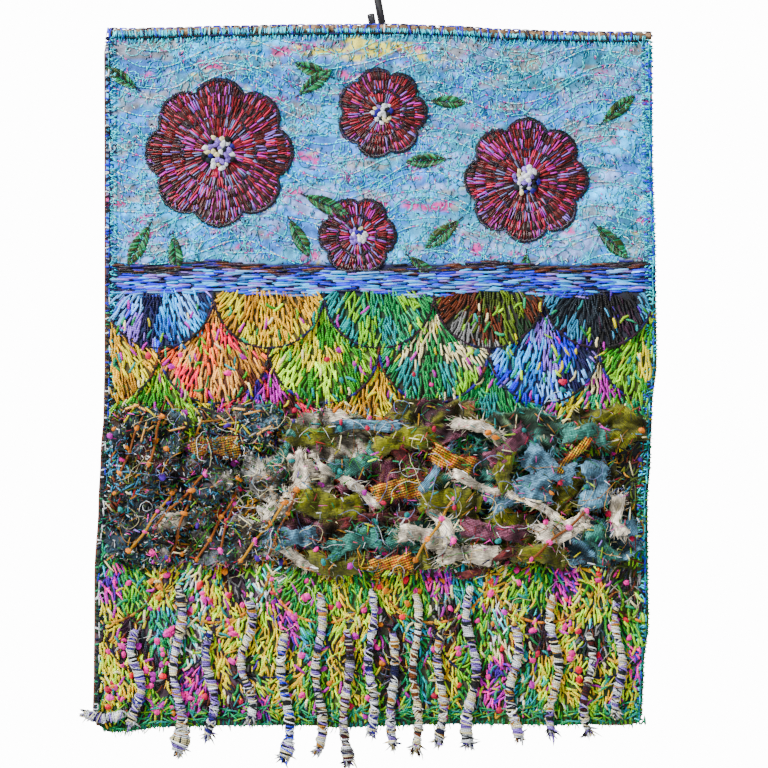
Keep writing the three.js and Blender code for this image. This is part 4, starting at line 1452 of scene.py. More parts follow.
def petal_fill(threads, flower, inner, outer, shift, palette, rng):
    """Rows of stitches that run outwards from a flower's middle."""
    middle, level, radius, petals = flower
    ring = inner * radius
    while ring < outer * radius - 2:
        length = min(PETAL_ROW, outer * radius - ring)
        count = int(2 * math.pi * (ring + length / 2) / 1.0)
        angle = 2 * math.pi * (np.arange(count) + rng.uniform(-0.3, 0.3, count)) / count
        limit = petal_edge(angle, radius * outer, petals, shift)
        end = np.minimum(ring + length + rng.uniform(-1, 1.5, count), limit)
        keep = end > ring + 2
        angle, end = angle[keep], end[keep]
        ends = rays(middle, level, ring + rng.uniform(-1, 1, len(angle)), angle)
        ends += rays(middle, level, end, angle + rng.normal(0, 0.03, len(angle)))
        colours = pick(palette, len(angle), rng, 0.25)
        threads.sew(ends, 0.7, rng.uniform(0.9, 1.4, len(angle)), colours)
        ring += length * 0.86


def make_flowers():
    rng = seeded(103)
    threads = Threads()
    for flower in FLOWERS:
        half_petal = math.pi / flower[3]
        petal_fill(threads, flower, 0.5, 1.0, 0.0, "flower", rng)
        petal_fill(threads, flower, 0.2, INNER_RING, half_petal, "flower_inner", rng)
        petal_outline(threads, flower, 1.0, 0.0, 1.1, rng)
        petal_outline(threads, flower, INNER_RING, half_petal, 0.9, rng)
    return threads.build("flower_stitches", SILK)


def make_leaves():
    rng = seeded(104)
    threads = Threads()
    for across, down, length, width, direction in LEAVES:
        angle = math.radians(direction)
        ahead = np.array((math.cos(angle), math.sin(angle)))
        aside = np.array((-ahead[1], ahead[0]))
        count = int(length / 0.95)
        share = (np.arange(count) + 0.5) / count
        half = width / 2 * np.sin(math.pi * share**0.8) + 0.6
        for way in (-1, 1):
            start = np.array((across, down)) + ahead * (share * length)[:, None]
            end = start + ahead * (half * 0.75)[:, None] + aside * (way * half)[:, None]
            threads.sew((*start.T, *end.T), 0.8, 1.15, pick("leafage", count, rng, 0.25), steps=5)
        stem = (np.arange(9) - 0.2) / 8
        line = np.array((across, down)) + ahead * (stem * length * 1.15 - 3)[:, None]
        threads.sew(links(*line.T), 1.3, 1.0, pick("outline", 8, rng), dive=0.2, sides=4)
    return threads.build("leaf_stitches", SILK)


# Fans of stitches in the scales
def fan_places(rng, top, foot, row_gap, side_gap):
    """Places and directions of the stitches that fan out from the head of each scale."""
    places = []
    last_row = int((PANEL_DROP - SCALE_START) / SCALE_RADIUS) + 1
    for row in range(0, last_row + 1):
        for column in range(-3, 4):
            head_x = row_shift(row) + column * 2 * SCALE_RADIUS
            head_down = SCALE_START + (row - 0.95) * SCALE_RADIUS
            reach = 5.0
            while reach < 2.05 * SCALE_RADIUS:
                count = int(math.pi * reach / side_gap)
                angle = math.pi * (np.arange(count) + 0.5) / count + rng.normal(0, 0.02, count)
                x = head_x + reach * np.cos(angle)
                d = head_down + (reach + rng.normal(0, 0.6, count)) * np.sin(angle)
                r, c, _ = scale_of(x, d)
                keep = (r == row) & (c == column) & (d > top) & (d < foot)
                places.append(np.stack([x, d, angle, r, c])[:, keep])
                reach += row_gap
    return np.concatenate(places, axis=1)


def meadow_colours(x, d, stray, rng):
    """Thread colours in upright patches, each patch from a palette of its own."""
    _, patch_x, patch_d = nearest_cell(x * 1.5, d * 0.85, 25.0, 61)
    chosen = (lattice(patch_x, patch_d, 5) * len(MEADOW_PATCHES)).astype(int) % len(MEADOW_PATCHES)
    chosen = np.where(stray, rng.integers(0, len(MEADOW_PATCHES), len(x)), chosen)
    return picked_by(chosen, MEADOW_PATCHES, rng, 0.0)


def fan_colours(x, d, row, column, stray, cluster, seed, rng):
    """Thread colours of each scale's own palette, alike in small clusters."""
    _, cluster_x, cluster_d = nearest_cell(x, d * 0.75, cluster, seed)
    clump = lattice(cluster_x, cluster_d, seed + 1)
    colours = np.zeros((len(x), 3))
    for r, c in {(int(a), int(b)) for a, b in zip(row, column)}:
        here = (row == r) & (column == c)
        names = PALETTES[fill_name(r, c)]
        choice = (clump[here] * len(names)).astype(int) % len(names)
        choice = np.where(stray[here], rng.integers(0, len(names), here.sum()), choice)
        colours[here] = np.array([COLOURS[name] for name in names])[choice]
    return colours


def fan_stitches(name, top, foot, length, width, row_gap, side_gap, seed, spread, cluster):
    rng = seeded(seed)
    found = fan_places(rng, top, foot, row_gap, side_gap)
    keep = inside_cloth(found[0], found[1], 3) & clear_of_flowers(found[0], found[1])
    x, d, angle, row, column = found[:, keep]
    count = len(x)
    lean = layered_noise(x, d, 26, seed + 2) - 0.5
    angle = angle + rng.normal(0, spread, count) + 3 * spread * lean
    ends = stroke(x, d, length / 2 * rng.uniform(0.7, 1.3, count), angle)
    fits = both(inside_cloth, ends)
    stray = rng.random(count) < 0.11
    colours = fan_colours(x, d, row, column, stray, cluster, seed, rng)
    if top >= BAND_FOOT:
        colours = meadow_colours(x, d, stray, rng)
    colours = 1.18 * colours * np.exp(rng.normal(0, 0.26, (count, 1)))
    bow = rng.normal(0, 4.0 * spread * spread, fits.sum())
    widths = width * rng.uniform(0.8, 1.2, (fits.sum(), 1)) * rng.uniform(0.85, 1.15, (fits.sum(), 3))
    threads = Threads()
    threads.sew(ends, width * 0.75, widths, colours[fits], fits, steps=5, dive=0.4, bow=bow)
    return threads.build(name, WOOL)


def make_scale_rims():
    """Yarn couched along the rounded edge of the scales, in some of their rows."""
    rng = seeded(108)
    threads = Threads()
    angle = math.pi * np.arange(27) / 26
    overlap = 0.25
    for row, palette in SCALE_RIMS:
        for column in range(-3, 4):
            centre_x = row_shift(row) + column * 2 * SCALE_RADIUS
            x = centre_x + SCALE_RADIUS * np.cos(angle)
            d = SCALE_START + row * SCALE_RADIUS + SCALE_RADIUS * np.sin(angle) - 0.5
            keep = both(inside_cloth, links(x, d), 3) & clear_of_flowers(x[:-1], d[:-1], 1.02)
            if keep.any():
                ends = (x[:-1] - overlap * np.diff(x), d[:-1] - overlap * np.diff(d), x[1:], d[1:])
                colours = pick(palette, keep.sum(), rng, 0.2)
                threads.sew(ends, RIM_YARN * 0.8, RIM_YARN, colours, keep, steps=5, sides=4)
    return threads.build("scale_rims", WOOL)


def scattered_stitches(name, count, top, foot, lengths, width, palette, seed, upright):
    """Loose straight stitches thrown over a band of the cloth."""
    rng = seeded(seed)
    x = rng.uniform(-HALF_WIDTH, HALF_WIDTH, count)
    d = rng.uniform(top, foot, count)
    if upright is None:
        angle = rng.uniform(0, math.pi, count)
    else:
        angle = math.pi / 2 + rng.normal(0, upright, count)
    ends = stroke(x, d, rng.uniform(*lengths, count) / 2, angle)
    keep = both(inside_cloth, ends, 2) & (scale_of(x, d)[0] >= 0) & clear_of_flowers(x, d, 1.1)
    bow = rng.normal(0, 0.9, keep.sum())
    widths = width * rng.uniform(0.8, 1.2, keep.sum())
    colours = pick(palette, keep.sum(), rng, 0.2)
    threads = Threads()
    threads.sew(ends, width * 1.3, widths, colours, keep, steps=5, sides=4, bow=bow)
    return threads.build(name, WOOL)


# Knots
def knot_shape():
    """A ball of points with the colour share along its thread, and its triangles."""
    a = around(KNOT_SIDES)
    b = math.pi * (np.arange(KNOT_LEVELS) + 0.5) / KNOT_LEVELS
    ball = np.stack([
        (np.sin(b)[:, None] * np.cos(a)[None]).ravel(),
        np.repeat(np.cos(b), KNOT_SIDES),
        (np.sin(b)[:, None] * np.sin(a)[None]).ravel(),
    ], axis=1)
    index = np.arange(len(ball)).reshape(KNOT_LEVELS, KNOT_SIDES)
    faces = [two_triangles(*ring_corners(index)), cap(index[0]), cap(index[-1], True)]
    return ball, np.tile(a, KNOT_LEVELS), np.concatenate(faces)


def make_knots(name, x, d, radius, palette, seed, surface=None):
    """Small lumpy knots, each longer one way than the other and a little askew."""
    rng = seeded(seed)
    keep = inside_cloth(x, d, 4)
    x, d = x[keep], d[keep]
    y = front_y(x, d) - 0.6 if surface is None else surface(x, d)
    ball, along, faces = knot_shape()
    count = len(x)
    lumps = 1 + 0.16 * rng.normal(0, 1, (count, len(ball), 1))
    local = ball[None] * lumps * (radius * rng.uniform(0.75, 1.25, (count, 1, 1)))
    longer = rng.uniform(0.75, 1.35, (count, 1))
    wide = local[:, :, 0] * longer
    tall = local[:, :, 2] / longer
    spin = rng.uniform(0, math.pi, (count, 1))
    points = np.stack([
        wide * np.cos(spin) - tall * np.sin(spin),
        local[:, :, 1] * 0.75,
        wide * np.sin(spin) + tall * np.cos(spin),
    ], axis=2)
    centre = place(x, y - radius * 0.35, d)
    offsets = len(ball) * np.arange(count)
    triangles = (faces[None] + offsets[:, None, None]).reshape(-1, 3)
    piece = new_object(name, (centre[:, None] + points).reshape(-1, 3), triangles, WOOL)
    paint(piece, np.repeat(pick(palette, count, rng), len(ball), axis=0))
    run = np.tile(along * radius, count)
    set_vectors(piece, "twist", np.stack([run, np.ones(len(run)), np.zeros(len(run))], axis=1))
    return piece


def scattered_knots():
    """Knots over the meadow and the band of scraps, more of them at the lower left."""
    rng = seeded(111)
    for name, count, top, foot, radius, palette, seed in KNOTS:
        x = rng.uniform(*KNOTS_ACROSS, count)
        d = rng.uniform(top, foot, count)
        x[::3] = np.where(d[::3] > KNOT_CORNER_DOWN, -150 + 0.16 * x[::3], x[::3])
        yield make_knots(name, x, d, radius, palette, seed)


def flower_hearts():
    """Knots in a spiral in the middle of each flower."""
    for number, (middle, level, radius, _) in enumerate(FLOWERS):
        count = int(radius * 0.7)
        turn = np.arange(count) * GOLDEN_TURN
        out = FLOWER_HEART * radius * np.sqrt((np.arange(count) + 0.5) / count)
        x, d = rays(middle, level, out, turn)
        yield make_knots(f"flower_heart_{number + 1}", x, d, HEART_KNOT, "wrap_lilac", 120 + number)


# Gathered scraps
def scrap_outline(angle, seed):
    """How far a torn scrap reaches in each direction: squarish and ragged."""
    square = (np.abs(np.cos(angle)) ** 3 + np.abs(np.sin(angle)) ** 3) ** (-1 / 3)
    torn = 0.55 * (layered_noise(2.2 * np.cos(angle) + 9, 2.2 * np.sin(angle) + 9, 1.0, seed) - 0.5)
    nicks = 0.12 * (value_noise(angle * 9, angle * 0, 1.0, seed + 3) - 0.5)
    return square * (1 + torn + nicks)


def ridges(x, y, cell, seed):
    """Sharp crests such as crumpled cloth has, from 0 to 1."""
    first = 1 - np.abs(2 * value_noise(x, y, cell, seed) - 1)
    second = 1 - np.abs(2 * value_noise(x, y, cell * 0.45, seed + 5) - 1)
    return 0.7 * first + 0.3 * second


def scrap_place(scrap, share, angle, edge):
    middle, level, wide, tall, turn, _, _ = scrap
    along = wide * share * edge * np.cos(angle)
    aside = tall * share * edge * np.sin(angle)
    return turned(middle, level, along, aside, turn)


def scrap_height(scrap, share, angle):
    _, level, _, _, _, height, ruffles = scrap
    ruffle = 0.5 + 0.5 * np.cos(ruffles * angle + level)
    crown = np.sin(math.pi * np.minimum(share, 0.92))
    return SCRAP_EDGE + (height - SCRAP_EDGE) * (0.35 * crown + 0.65 * ruffle * (0.3 + 0.7 * crown))


def polar_sheet(name, top, thickness, material):
    """A closed cloth from rings of points, its underside straight behind them."""
    rings, sectors, _ = top.shape
    bottom = top + np.array((0.0, thickness, 0.0))
    points = np.concatenate([top.reshape(-1, 3), bottom.reshape(-1, 3)])
    total = rings * sectors
    index = np.arange(total).reshape(rings, sectors)
    front = two_triangles(*ring_corners(index))
    inner = cap(index[0])
    return new_object(name, points, np.concatenate([
        front, front[:, ::-1] + total, walls_behind(index[-1], total), inner, inner[:, ::-1] + total,
    ]), material)


def sheet_area(top):
    """Area in square metres of a cloth given as rings of points."""
    after = np.roll(top, -1, axis=1)
    first = np.cross(after[:-1] - top[:-1], after[1:] - top[:-1])
    second = np.cross(after[1:] - top[:-1], top[1:] - top[:-1])
    doubled = np.linalg.norm(first, axis=-1) + np.linalg.norm(second, axis=-1)
    return float(0.5 * doubled.sum()) * MM * MM


def painted_left_shade(across, light_from=-50):
    """Painted shade: the heap of scraps is darker at the left."""
    return blend(DARK_SIDE, 1, smoothstep(across, DARK_SIDE_FROM, light_from))


def scrap_colours(dye, mixed, across, down, tone):
    """Cloth of one dye, stained with another towards the middle and with greys at the left, then times a tone
    that holds painted shade.
    """
    stain = smoothstep(layered_noise(across, down, 16, 377), 0.46, 0.54) * bump(across - 26, 70)
    patch = layered_noise(across, down, 17, 391)[..., None]
    dark = blend(COLOURS["cloth_slate"], COLOURS["cloth_brown"], smoothstep(patch, 0.46, 0.54))
    dark = blend(dark, COLOURS["cloth_grey"], smoothstep(patch, 0.62, 0.68))
    darker = 0.85 * (1 - smoothstep(across, -100, -60))
    cloth = blend(COLOURS[dye], COLOURS[mixed], stain[..., None])
    return (blend(cloth, dark, darker[..., None]) * tone[..., None]).reshape(-1, 3)


def make_scrap(number, scrap):
    """A torn scrap, gathered into crumpled folds, and the points of its front."""
    seed = 300 + 20 * number
    share = np.linspace(0.03, 1, SCRAP_RINGS)[:, None]
    angle = around(SCRAP_SECTORS)[None]
    across, down = scrap_place(scrap, share, angle, 1.1 * scrap_outline(angle, seed))
    turn = 0.9 * math.sin(seed * 1.7)
    along = across * math.cos(turn) + down * math.sin(turn)
    aside = down * math.cos(turn) - across * math.sin(turn)
    gathered = ridges(along, aside * 0.45, 10.0, seed + 1)
    fine = ridges(across, down, 4.2, seed + 2)
    crumple = SCRAP_CRUMPLE * gathered**2 + 1.5 * fine - 3.6
    curl = 3.0 * share**4 * np.clip(np.sin(4 * angle + seed) + 0.3, 0, None)
    lift = np.clip(0.6 * scrap_height(scrap, share, angle) + crumple + curl, SCRAP_CLOTH + 0.4, None)
    warp = SCRAP_WARP * share
    across = across + warp * (layered_noise(across, down, 7, seed + 7) - 0.5) * 2
    down = down + warp * (layered_noise(across, down, 7, seed + 8) - 0.5) * 2
    under = back_y(across, down) - PANEL_THICKNESS - SCRAP_GAP
    top = place(across, under - lift, down)
    piece = polar_sheet(f"gathered_scrap_{number + 1:02d}", top, SCRAP_CLOTH, GAUZE)
    # Painted shade: the low hollows between the crumpled folds are darkened, and the left side of the heap too
    painted_fold_shade = 0.14 + 1.5 * smoothstep(lift, 2, 10)
    tone = (0.7 + 0.6 * layered_noise(across, down, 10, seed + 9)) * painted_fold_shade * painted_left_shade(across, -40)
    dyes = SCRAP_DYES[SCRAP_CLOTHS[number % len(SCRAP_CLOTHS)]]
    for layer, dye, mixed in zip(("tint", "weft"), dyes, ("cloth_olive", "cloth_moss")):
        shade = scrap_colours(dye, mixed, across, down, tone)
        paint(piece, np.concatenate([shade, shade]), layer)
    weave = np.stack([along, aside, 0 * across], axis=-1).reshape(-1, 3) * MM
    set_vectors(piece, "weave", np.concatenate([weave, weave]))
    return piece, top


class Relief:
    """The foremost surface over the cloth once the scraps are on, for what is sewn over them."""

    def __init__(self, cell=1.5):
        self.cell = cell
        self.left = -HALF_WIDTH - 20
        columns = int((PANEL_WIDTH + 40) / cell)
        rows = int((PANEL_DROP + 40) / cell)
        self.grid = np.full((rows, columns), np.inf)
        self.softened = None

    def cover(self, points):
        rows, columns = self.grid.shape
        column = np.clip((points[:, 0] - PANEL_CENTRE_X - self.left) / self.cell, 1, columns - 2)
        row = np.clip((PANEL_TOP_Z - points[:, 2]) / self.cell, 1, rows - 2)
        for i in (0, 1):
            for j in (0, 1):
                np.minimum.at(self.grid, (row.astype(int) + j, column.astype(int) + i), points[:, 1])

    def soften(self):
        """A smoother surface that lies on the high places, as a loose cloth would."""
        row, column = np.indices(self.grid.shape)
        known = front_y(self.left + (column + 0.5) * self.cell, (row + 0.5) * self.cell)
        grid = np.minimum(self.grid, known)
        for least in (True, True, False, False, False):
            near = np.stack([np.roll(grid, (i, j), axis=(0, 1)) for i in (-1, 0, 1) for j in (-1, 0, 1)])
            grid = near.min(axis=0) if least else near.mean(axis=0)
        return grid

    def soft(self, across, down):
        """The softened surface, read between its cells."""
        if self.softened is None:
            self.softened = self.soften()
        x = np.clip((across - self.left) / self.cell - 0.5, 0, self.grid.shape[1] - 2)
        z = np.clip(down / self.cell - 0.5, 0, self.grid.shape[0] - 2)
        column, row = x.astype(int), z.astype(int)
        corners = [self.softened[row + j, column + i] for j in (0, 1) for i in (0, 1)]
        return between_corners(*corners, x - column, z - row)

    def __call__(self, across, down):
        column = np.clip((across - self.left) / self.cell, 0, self.grid.shape[1] - 1).astype(int)
        row = np.clip(down / self.cell, 0, self.grid.shape[0] - 1).astype(int)
        return np.minimum(front_y(across, down), self.grid[row, column])


def couched_path(start_x, start_d, heading):
    """Places along one couched yarn, up to where it would leave the cloth."""
    turn = heading + 0.12 * np.sin(np.arange(COUCHED_STEPS) * 0.7 + start_x)
    x = start_x + np.concatenate([[0], np.cumsum(COUCHED_STEP * np.cos(turn))])
    d = start_d + np.concatenate([[0], np.cumsum(COUCHED_STEP * np.sin(turn))])
    inside = inside_cloth(x, d, 3) & (d > BAND_TOP + 4)
    last = len(x) if inside.all() else int(np.argmin(inside))
    return x[:last], d[:last]


def make_over_stitches(over):
    """Long stitches and couched yarns that hold the scraps down."""
    rng = seeded(395)
    threads = Threads()
    for count, palette, lengths, width, right, foot in OVER_STITCHES:
        x = rng.uniform(OVER_LEFT, right, count)
        d = rng.uniform(BAND_TOP - 4, foot, count)
        angle = rng.uniform(0, math.pi, count)
        ends = stroke(x, d, rng.uniform(*lengths, count) / 2, angle)
        keep = both(inside_cloth, ends, 2)
        colours = pick(palette, keep.sum(), rng, 0.35)
        threads.sew(ends, 0.8, width, colours, keep, dive=0.6, surface=over)
    for yarn in COUCHED_YARNS:
        x, d = couched_path(*yarn)
        if len(x) >= 4:
            line = place(x, over(x, d) - 1.0, d)
            line[1:-1, 1] = (line[:-2, 1] + line[1:-1, 1] + line[2:, 1]) / 3
            threads.add(line[None], 1.7, pick("couched", 1, rng, 0.15), sides=6)
    return threads.build("over_stitches", WOOL)


def make_hairs(over):
    """Thin loose threads that lie in curls over the scraps and the cords."""
    rng = seeded(396)
    threads = Threads()
    count, steps = HAIRS, HAIR_STEPS
    x = rng.uniform(-170, 168, count)
    d = rng.uniform(BAND_TOP, BAND_FOOT + 70, count)
    heading = rng.uniform(0, 2 * math.pi, count)
    turn = rng.normal(0, 0.3, (count, 1)) + rng.normal(0, 0.25, (count, steps))
    across = np.zeros((count, steps))
    down = np.zeros((count, steps))
    for k in range(steps):
        across[:, k], down[:, k] = x, d
        heading = heading + turn[:, k]
        x = x + HAIR_STEP * np.cos(heading)
        d = d + HAIR_STEP * np.sin(heading)
    keep = inside_cloth(across, down, 3).all(axis=1)
    across, down = across[keep], down[keep]
    lines = place(across, over(across, down) - 1.4, down)
    threads.add(lines, 0.45, pick("hairs", keep.sum(), rng, 0.2), sides=3)
    return threads.build("loose_hairs", WOOL)


def make_frayed_ends(rims):
    """Loose yarn ends that stand out from the torn edges of the scraps and strips."""
    rng = seeded(390)
    threads = Threads()
    count = SCRAP_FRAYS
    share = np.linspace(-0.3, 1, 4)[None, :, None]
    for number, (rim, cloth) in enumerate(rims):
        start = rim[rng.integers(0, len(rim), count)]
        away = (start - rim.mean(axis=0)) * np.array((1.0, 0.0, 1.0))
        out = normalised(normalised(away) + rng.normal(0, 0.55, (count, 3)) * np.array((1.0, 0.3, 1.0)))
        bend = rng.normal(0, 0.35, (count, 3))
        reach = rng.uniform(1.5, 6.0, (count, 1, 1))
        lines = start[:, None] + (out[:, None] + bend[:, None] * share) * share * reach
        dye = SCRAP_DYES[cloth][number % 2]
        # Painted shade: frayed ends darker at the left, as the heap is
        tints = COLOURS[dye] * np.exp(rng.normal(0.1, 0.4, (count, 1))) * painted_left_shade(start[:, :1])
        threads.add(lines, rng.uniform(0.3, 0.65, count), tints, sides=3)
    return threads.build("frayed_ends", WOOL)


def strip_top(strip, number, soft):
    """Points of one torn strip's front, laid over the soft surface in crumpled folds."""
    middle, level, length, width, direction, _ = strip
    seed = 700 + 11 * number
    v, u = np.meshgrid(*(np.linspace(-1, 1, count) for count in STRIP_GRID), indexing="ij")
    ragged = 1 + 0.5 * (layered_noise(u * 6, 0 * v, 1.0, seed) - 0.5)
    ends = 1 + 0.35 * (layered_noise(v * 4, 0 * u, 1.0, seed + 3) - 0.5)
    waist = 1 - 0.3 * bump(u - 0.5 * math.sin(seed), 0.35)
    along = u * ends * length / 2
    aside = v * ragged * waist * width / 2 + 2.2 * np.sin(2.4 * u + seed)
    across, down = turned(middle, level, along, aside, direction)
    across = np.clip(across, left_edge(down) + 2, right_edge(down) - 2)
    rim = np.maximum(np.abs(u) ** 6, np.abs(v) ** 4)
    fold = ridges(along, aside * 0.6, 8.0, seed + 5) ** 1.6 * STRIP_FOLD
    small = ridges(along, aside, 3.6, seed + 7) * 0.9
    lift = STRIP_LIFT + (fold + small) * (1 - 0.65 * rim)
    return across, down, soft(across, down) - lift, (fold + small) / STRIP_FOLD, along, aside


def make_strips(soft):
    """Torn strips of cloth over and between the scraps."""
    points, faces, warps, wefts, weaves, rims, coarse = [], [], [], [], [], [], []
    total = 0
    for number, strip in enumerate(STRIPS):
        across, down, y, fold, along, aside = strip_top(strip, number, soft)
        cloth = strip[5]
        top = place(across, y, down)
        under = across.size
        index = total + np.arange(under).reshape(across.shape)
        front = grid_faces(index)
        rim = grid_rim(index)
        faces += [front, front[:, ::-1] + under, walls_behind(rim, under)]
        coarse += [np.full(len(f), cloth == "hessian") for f in faces[-3:]]
        points += [top.reshape(-1, 3), (top + (0, STRIP_CLOTH, 0)).reshape(-1, 3)]
        rims.append((top.reshape(-1, 3)[rim - total], cloth))
        mottle = 0.7 + 0.6 * layered_noise(across, down, 6, 90 + number)
        # Painted shade: cloth darker in the low parts of its folds and darker at the left, with random
        # mottling
        tone = ((0.08 + 1.7 * fold**1.3) * mottle * painted_left_shade(across))[..., None]
        warp, weft = (COLOURS[dye] for dye in SCRAP_DYES[cloth])
        if cloth == "hessian":
            mixed = smoothstep(value_noise(along + 40, aside + 40, 2.4, number), 0.45, 0.55)
            weft = blend(weft, COLOURS["dark_green"], mixed[..., None])
        warps += [(warp * tone).reshape(-1, 3)] * 2
        wefts += [(weft * tone).reshape(-1, 3)] * 2
        weaves += [np.stack([along, aside, 0 * along], -1).reshape(-1, 3) * MM] * 2
        total += 2 * under
    piece = new_object("torn_strips", np.concatenate(points), np.concatenate(faces), GAUZE)
    paint(piece, np.concatenate(warps))
    paint(piece, np.concatenate(wefts), "weft")
    set_vectors(piece, "weave", np.concatenate(weaves))
    piece.data.materials.append(HESSIAN)
    piece.data.polygons.foreach_set("material_index", np.concatenate(coarse).astype(np.int32))
    return piece, rims, points


# Wrapped cords
def cord_front(across, down, reach):
    foremost = np.full(np.shape(across), np.inf)
    for side in (-reach, 0, reach):
        for level in (-reach, 0, reach):
            x = across + side
            d = np.minimum(down + level, PANEL_DROP)
            lower = scale_relief(x, d) * (1 - scrap_cover(x, d))
            foremost = np.minimum(foremost, back_y(x, d) - PANEL_THICKNESS - lower)
    return foremost


def smooth_line(points, count):
    """Points spread evenly along a smooth curve through the given ones."""
    from_start = np.concatenate([[0], np.cumsum(np.linalg.norm(np.diff(points, axis=0), axis=1))])
    slopes = np.gradient(points, from_start, axis=0)
    at = np.linspace(0, from_start[-1], count)
    index = np.clip(np.searchsorted(from_start, at, side="right") - 1, 0, len(points) - 2)
    span = (from_start[index + 1] - from_start[index])[:, None]
    share = ((at - from_start[index])[:, None]) / span
    square, cube = share**2, share**3
    return (
        (2 * cube - 3 * square + 1) * points[index]
        + (cube - 2 * square + share) * span * slopes[index]
        + (-2 * cube + 3 * square) * points[index + 1]
        + (cube - square) * span * slopes[index + 1]
    )


def cord_line(cord):
    middle, rise, tail, sway, turns, diameter, _ = cord
    length = rise + tail
    steps = round(length / CORD_STEP)
    share = np.arange(steps + 1) / steps
    down = hem_down(middle) - rise + share * length
    across = middle + sway * np.sin(2 * math.pi * turns * share)
    y = cord_front(across, down, diameter) - CORD_GAP - diameter / 2 * (1 + CORD_LUMP)
    return place(across, y, down)


def side_cord_line():
    share = np.arange(7) / 6
    across = blend(SIDE_CORD_INNER, SIDE_CORD_OUTER, share)
    down = SIDE_CORD_DOWN + SIDE_CORD_DIP * np.sin(math.pi * share)
    rest = cord_front(np.maximum(across, left_edge(down)), down, SIDE_CORD_DIAMETER)
    return place(across, rest - CORD_GAP - SIDE_CORD_DIAMETER / 2, down)


def cord_radius(share, cord):
    _, _, tail, _, _, diameter, end = cord
    start = blend(CORD_THIN, 1, smoothstep(share, 0, CORD_TAPER))
    knob = 1 + (end - 1) * bump(share - CORD_KNOB_AT, CORD_KNOB_WIDTH) * (tail > 0)
    lump = 1 + 0.6 * CORD_LUMP * np.sin(9 * math.pi * share)
    return CORD_SLIM * diameter / 2 * start * knob * lump


def wind(threads, line, radius, pitch, width, colours, phase=0.0, per_turn=7):
    """A thread wound round a line at the given pitch."""
    tangent = normalised(np.gradient(line, axis=0))
    first = normalised(np.cross(tangent, np.array((0.0, 1.0, 0.0))))
    second = np.cross(first, tangent)
    length = np.linalg.norm(np.diff(line, axis=0), axis=1).sum()
    turns = length / pitch
    at = np.linspace(0, 1, int(turns * per_turn))
    source = np.linspace(0, 1, len(line))
    centre, first, second = (
        np.stack([np.interp(at, source, values[:, k]) for k in range(3)], axis=1)
        for values in (line, first, second)
    )
    angle = (phase + 2 * math.pi * turns * at)[:, None]
    path = centre + (first * np.cos(angle) + second * np.sin(angle)) * np.interp(at, source, radius)[:, None]
    axis = normalised(np.gradient(centre, axis=0))
    threads.add(path[None], width, colours(at * length)[None], reference=axis[None], sides=3)


def banded(palette, band, rng):
    """Colour along a wound thread: runs of one to three bands of the same shade."""
    dyes = np.array([COLOURS[name] for name in PALETTES[palette]])
    order = np.repeat(rng.integers(0, len(dyes), 400), rng.choice((1, 1, 1, 2), 400))
    shades = np.exp(rng.normal(0, 0.22, len(order)))

    def at(run):
        index = np.clip((run / band).astype(int), 0, len(order) - 1)
        return dyes[order[index]] * shades[index][:, None]

    return at


def tangle(threads, line, radius, palette, rng):
    """Loose turns of thread at all slants round the lower part of a cord."""
    count = TANGLES
    low = rng.random(count) < 0.5
    at = np.where(low, rng.uniform(52, 62, count), rng.uniform(3, 60, count)).astype(int)
    tangent = normalised(np.gradient(line, axis=0))[at]
    axis = normalised(tangent + rng.normal(0, 0.45, (count, 3)))
    first = normalised(np.cross(axis, rng.normal(0, 1, (count, 3))))
    second = np.cross(axis, first)
    turn = np.linspace(0, 2 * math.pi * 1.1, 11)[None, :, None]
    out = (radius[at] * rng.uniform(1.0, 1.14, count))[:, None, None]
    path = line[at][:, None] + (first[:, None] * np.cos(turn) + second[:, None] * np.sin(turn)) * out
    colours = pick(palette, count, rng, 0.3)
    threads.add(path, rng.uniform(0.7, 1.2, count), colours, reference=axis[:, None], sides=3)


def fray(threads, line, radius, palette, count, rng):
    """Loose ends of thread that spread from the end of a cord."""
    ahead = normalised(line[-1] - line[-4])
    spread = normalised(rng.normal(0, 0.62, (count, 3)) + ahead)
    share = np.linspace(-0.4, 1, 5)[None, :, None]
    reach = rng.uniform(2.0, 6.5, (count, 1, 1))
    start = line[-1] + rng.uniform(-0.6, 0.6, (count, 3)) * radius - ahead * rng.uniform(0, 3.0, (count, 1))
    bend = rng.normal(0, 0.3, (count, 3))
    lines = start[:, None] + (spread[:, None] + bend[:, None] * share) * share * reach
    colours = pick(palette, count, rng, 0.4) * 0.7
    threads.add(lines, rng.uniform(0.9, 2.1, count), colours, sides=3)


def make_cord(name, line, radius, palette, seed, frayed):
    """A core wound with thread, loose windings over it, and a frayed end."""
    rng = seeded(seed)
    threads = Threads()
    fine = smooth_line(line, CORD_POINTS)
    run = np.linspace(0, 1, CORD_POINTS)
    radius = np.interp(run, np.linspace(0, 1, len(radius)), radius)
    radius = radius * (1.0 + 0.2 * (value_noise(run * 16, 0 * run + seed, 1.0, seed) - 0.5) * 2)
    core = radius - WRAP_THREAD * 0.6
    # Painted shade: the core is near black so that the gaps between the wraps read dark
    dark = np.broadcast_to(COLOURS["slate"] * 0.5, (1, CORD_POINTS, 3))
    threads.add(fine[None], 2 * core[1:-1][None], dark, sides=CORE_SIDES)
    wrap = radius - WRAP_THREAD * 0.5
    back, back_wrap = fine[::-1], wrap[::-1] + 0.6
    wind(threads, fine, wrap, WRAP_PITCH, WRAP_THREAD, banded(palette, WRAP_PITCH, rng))
    wind(threads, fine, wrap + 0.5, rng.uniform(5, 8), 1.0, banded("wrap_over", 11.0, rng), 1.0, 11)
    wind(threads, back, back_wrap, rng.uniform(8, 13), 0.9, banded(palette, 9.0, rng), 2.0, 12)
    fray(threads, fine, radius[-1], palette, frayed, rng)
    tangle(threads, fine, radius, palette, rng)
    return threads.build(name, WOOL)


# Edges
def edge_across(side, down):
    return left_edge(down) if side < 0 else right_edge(down)


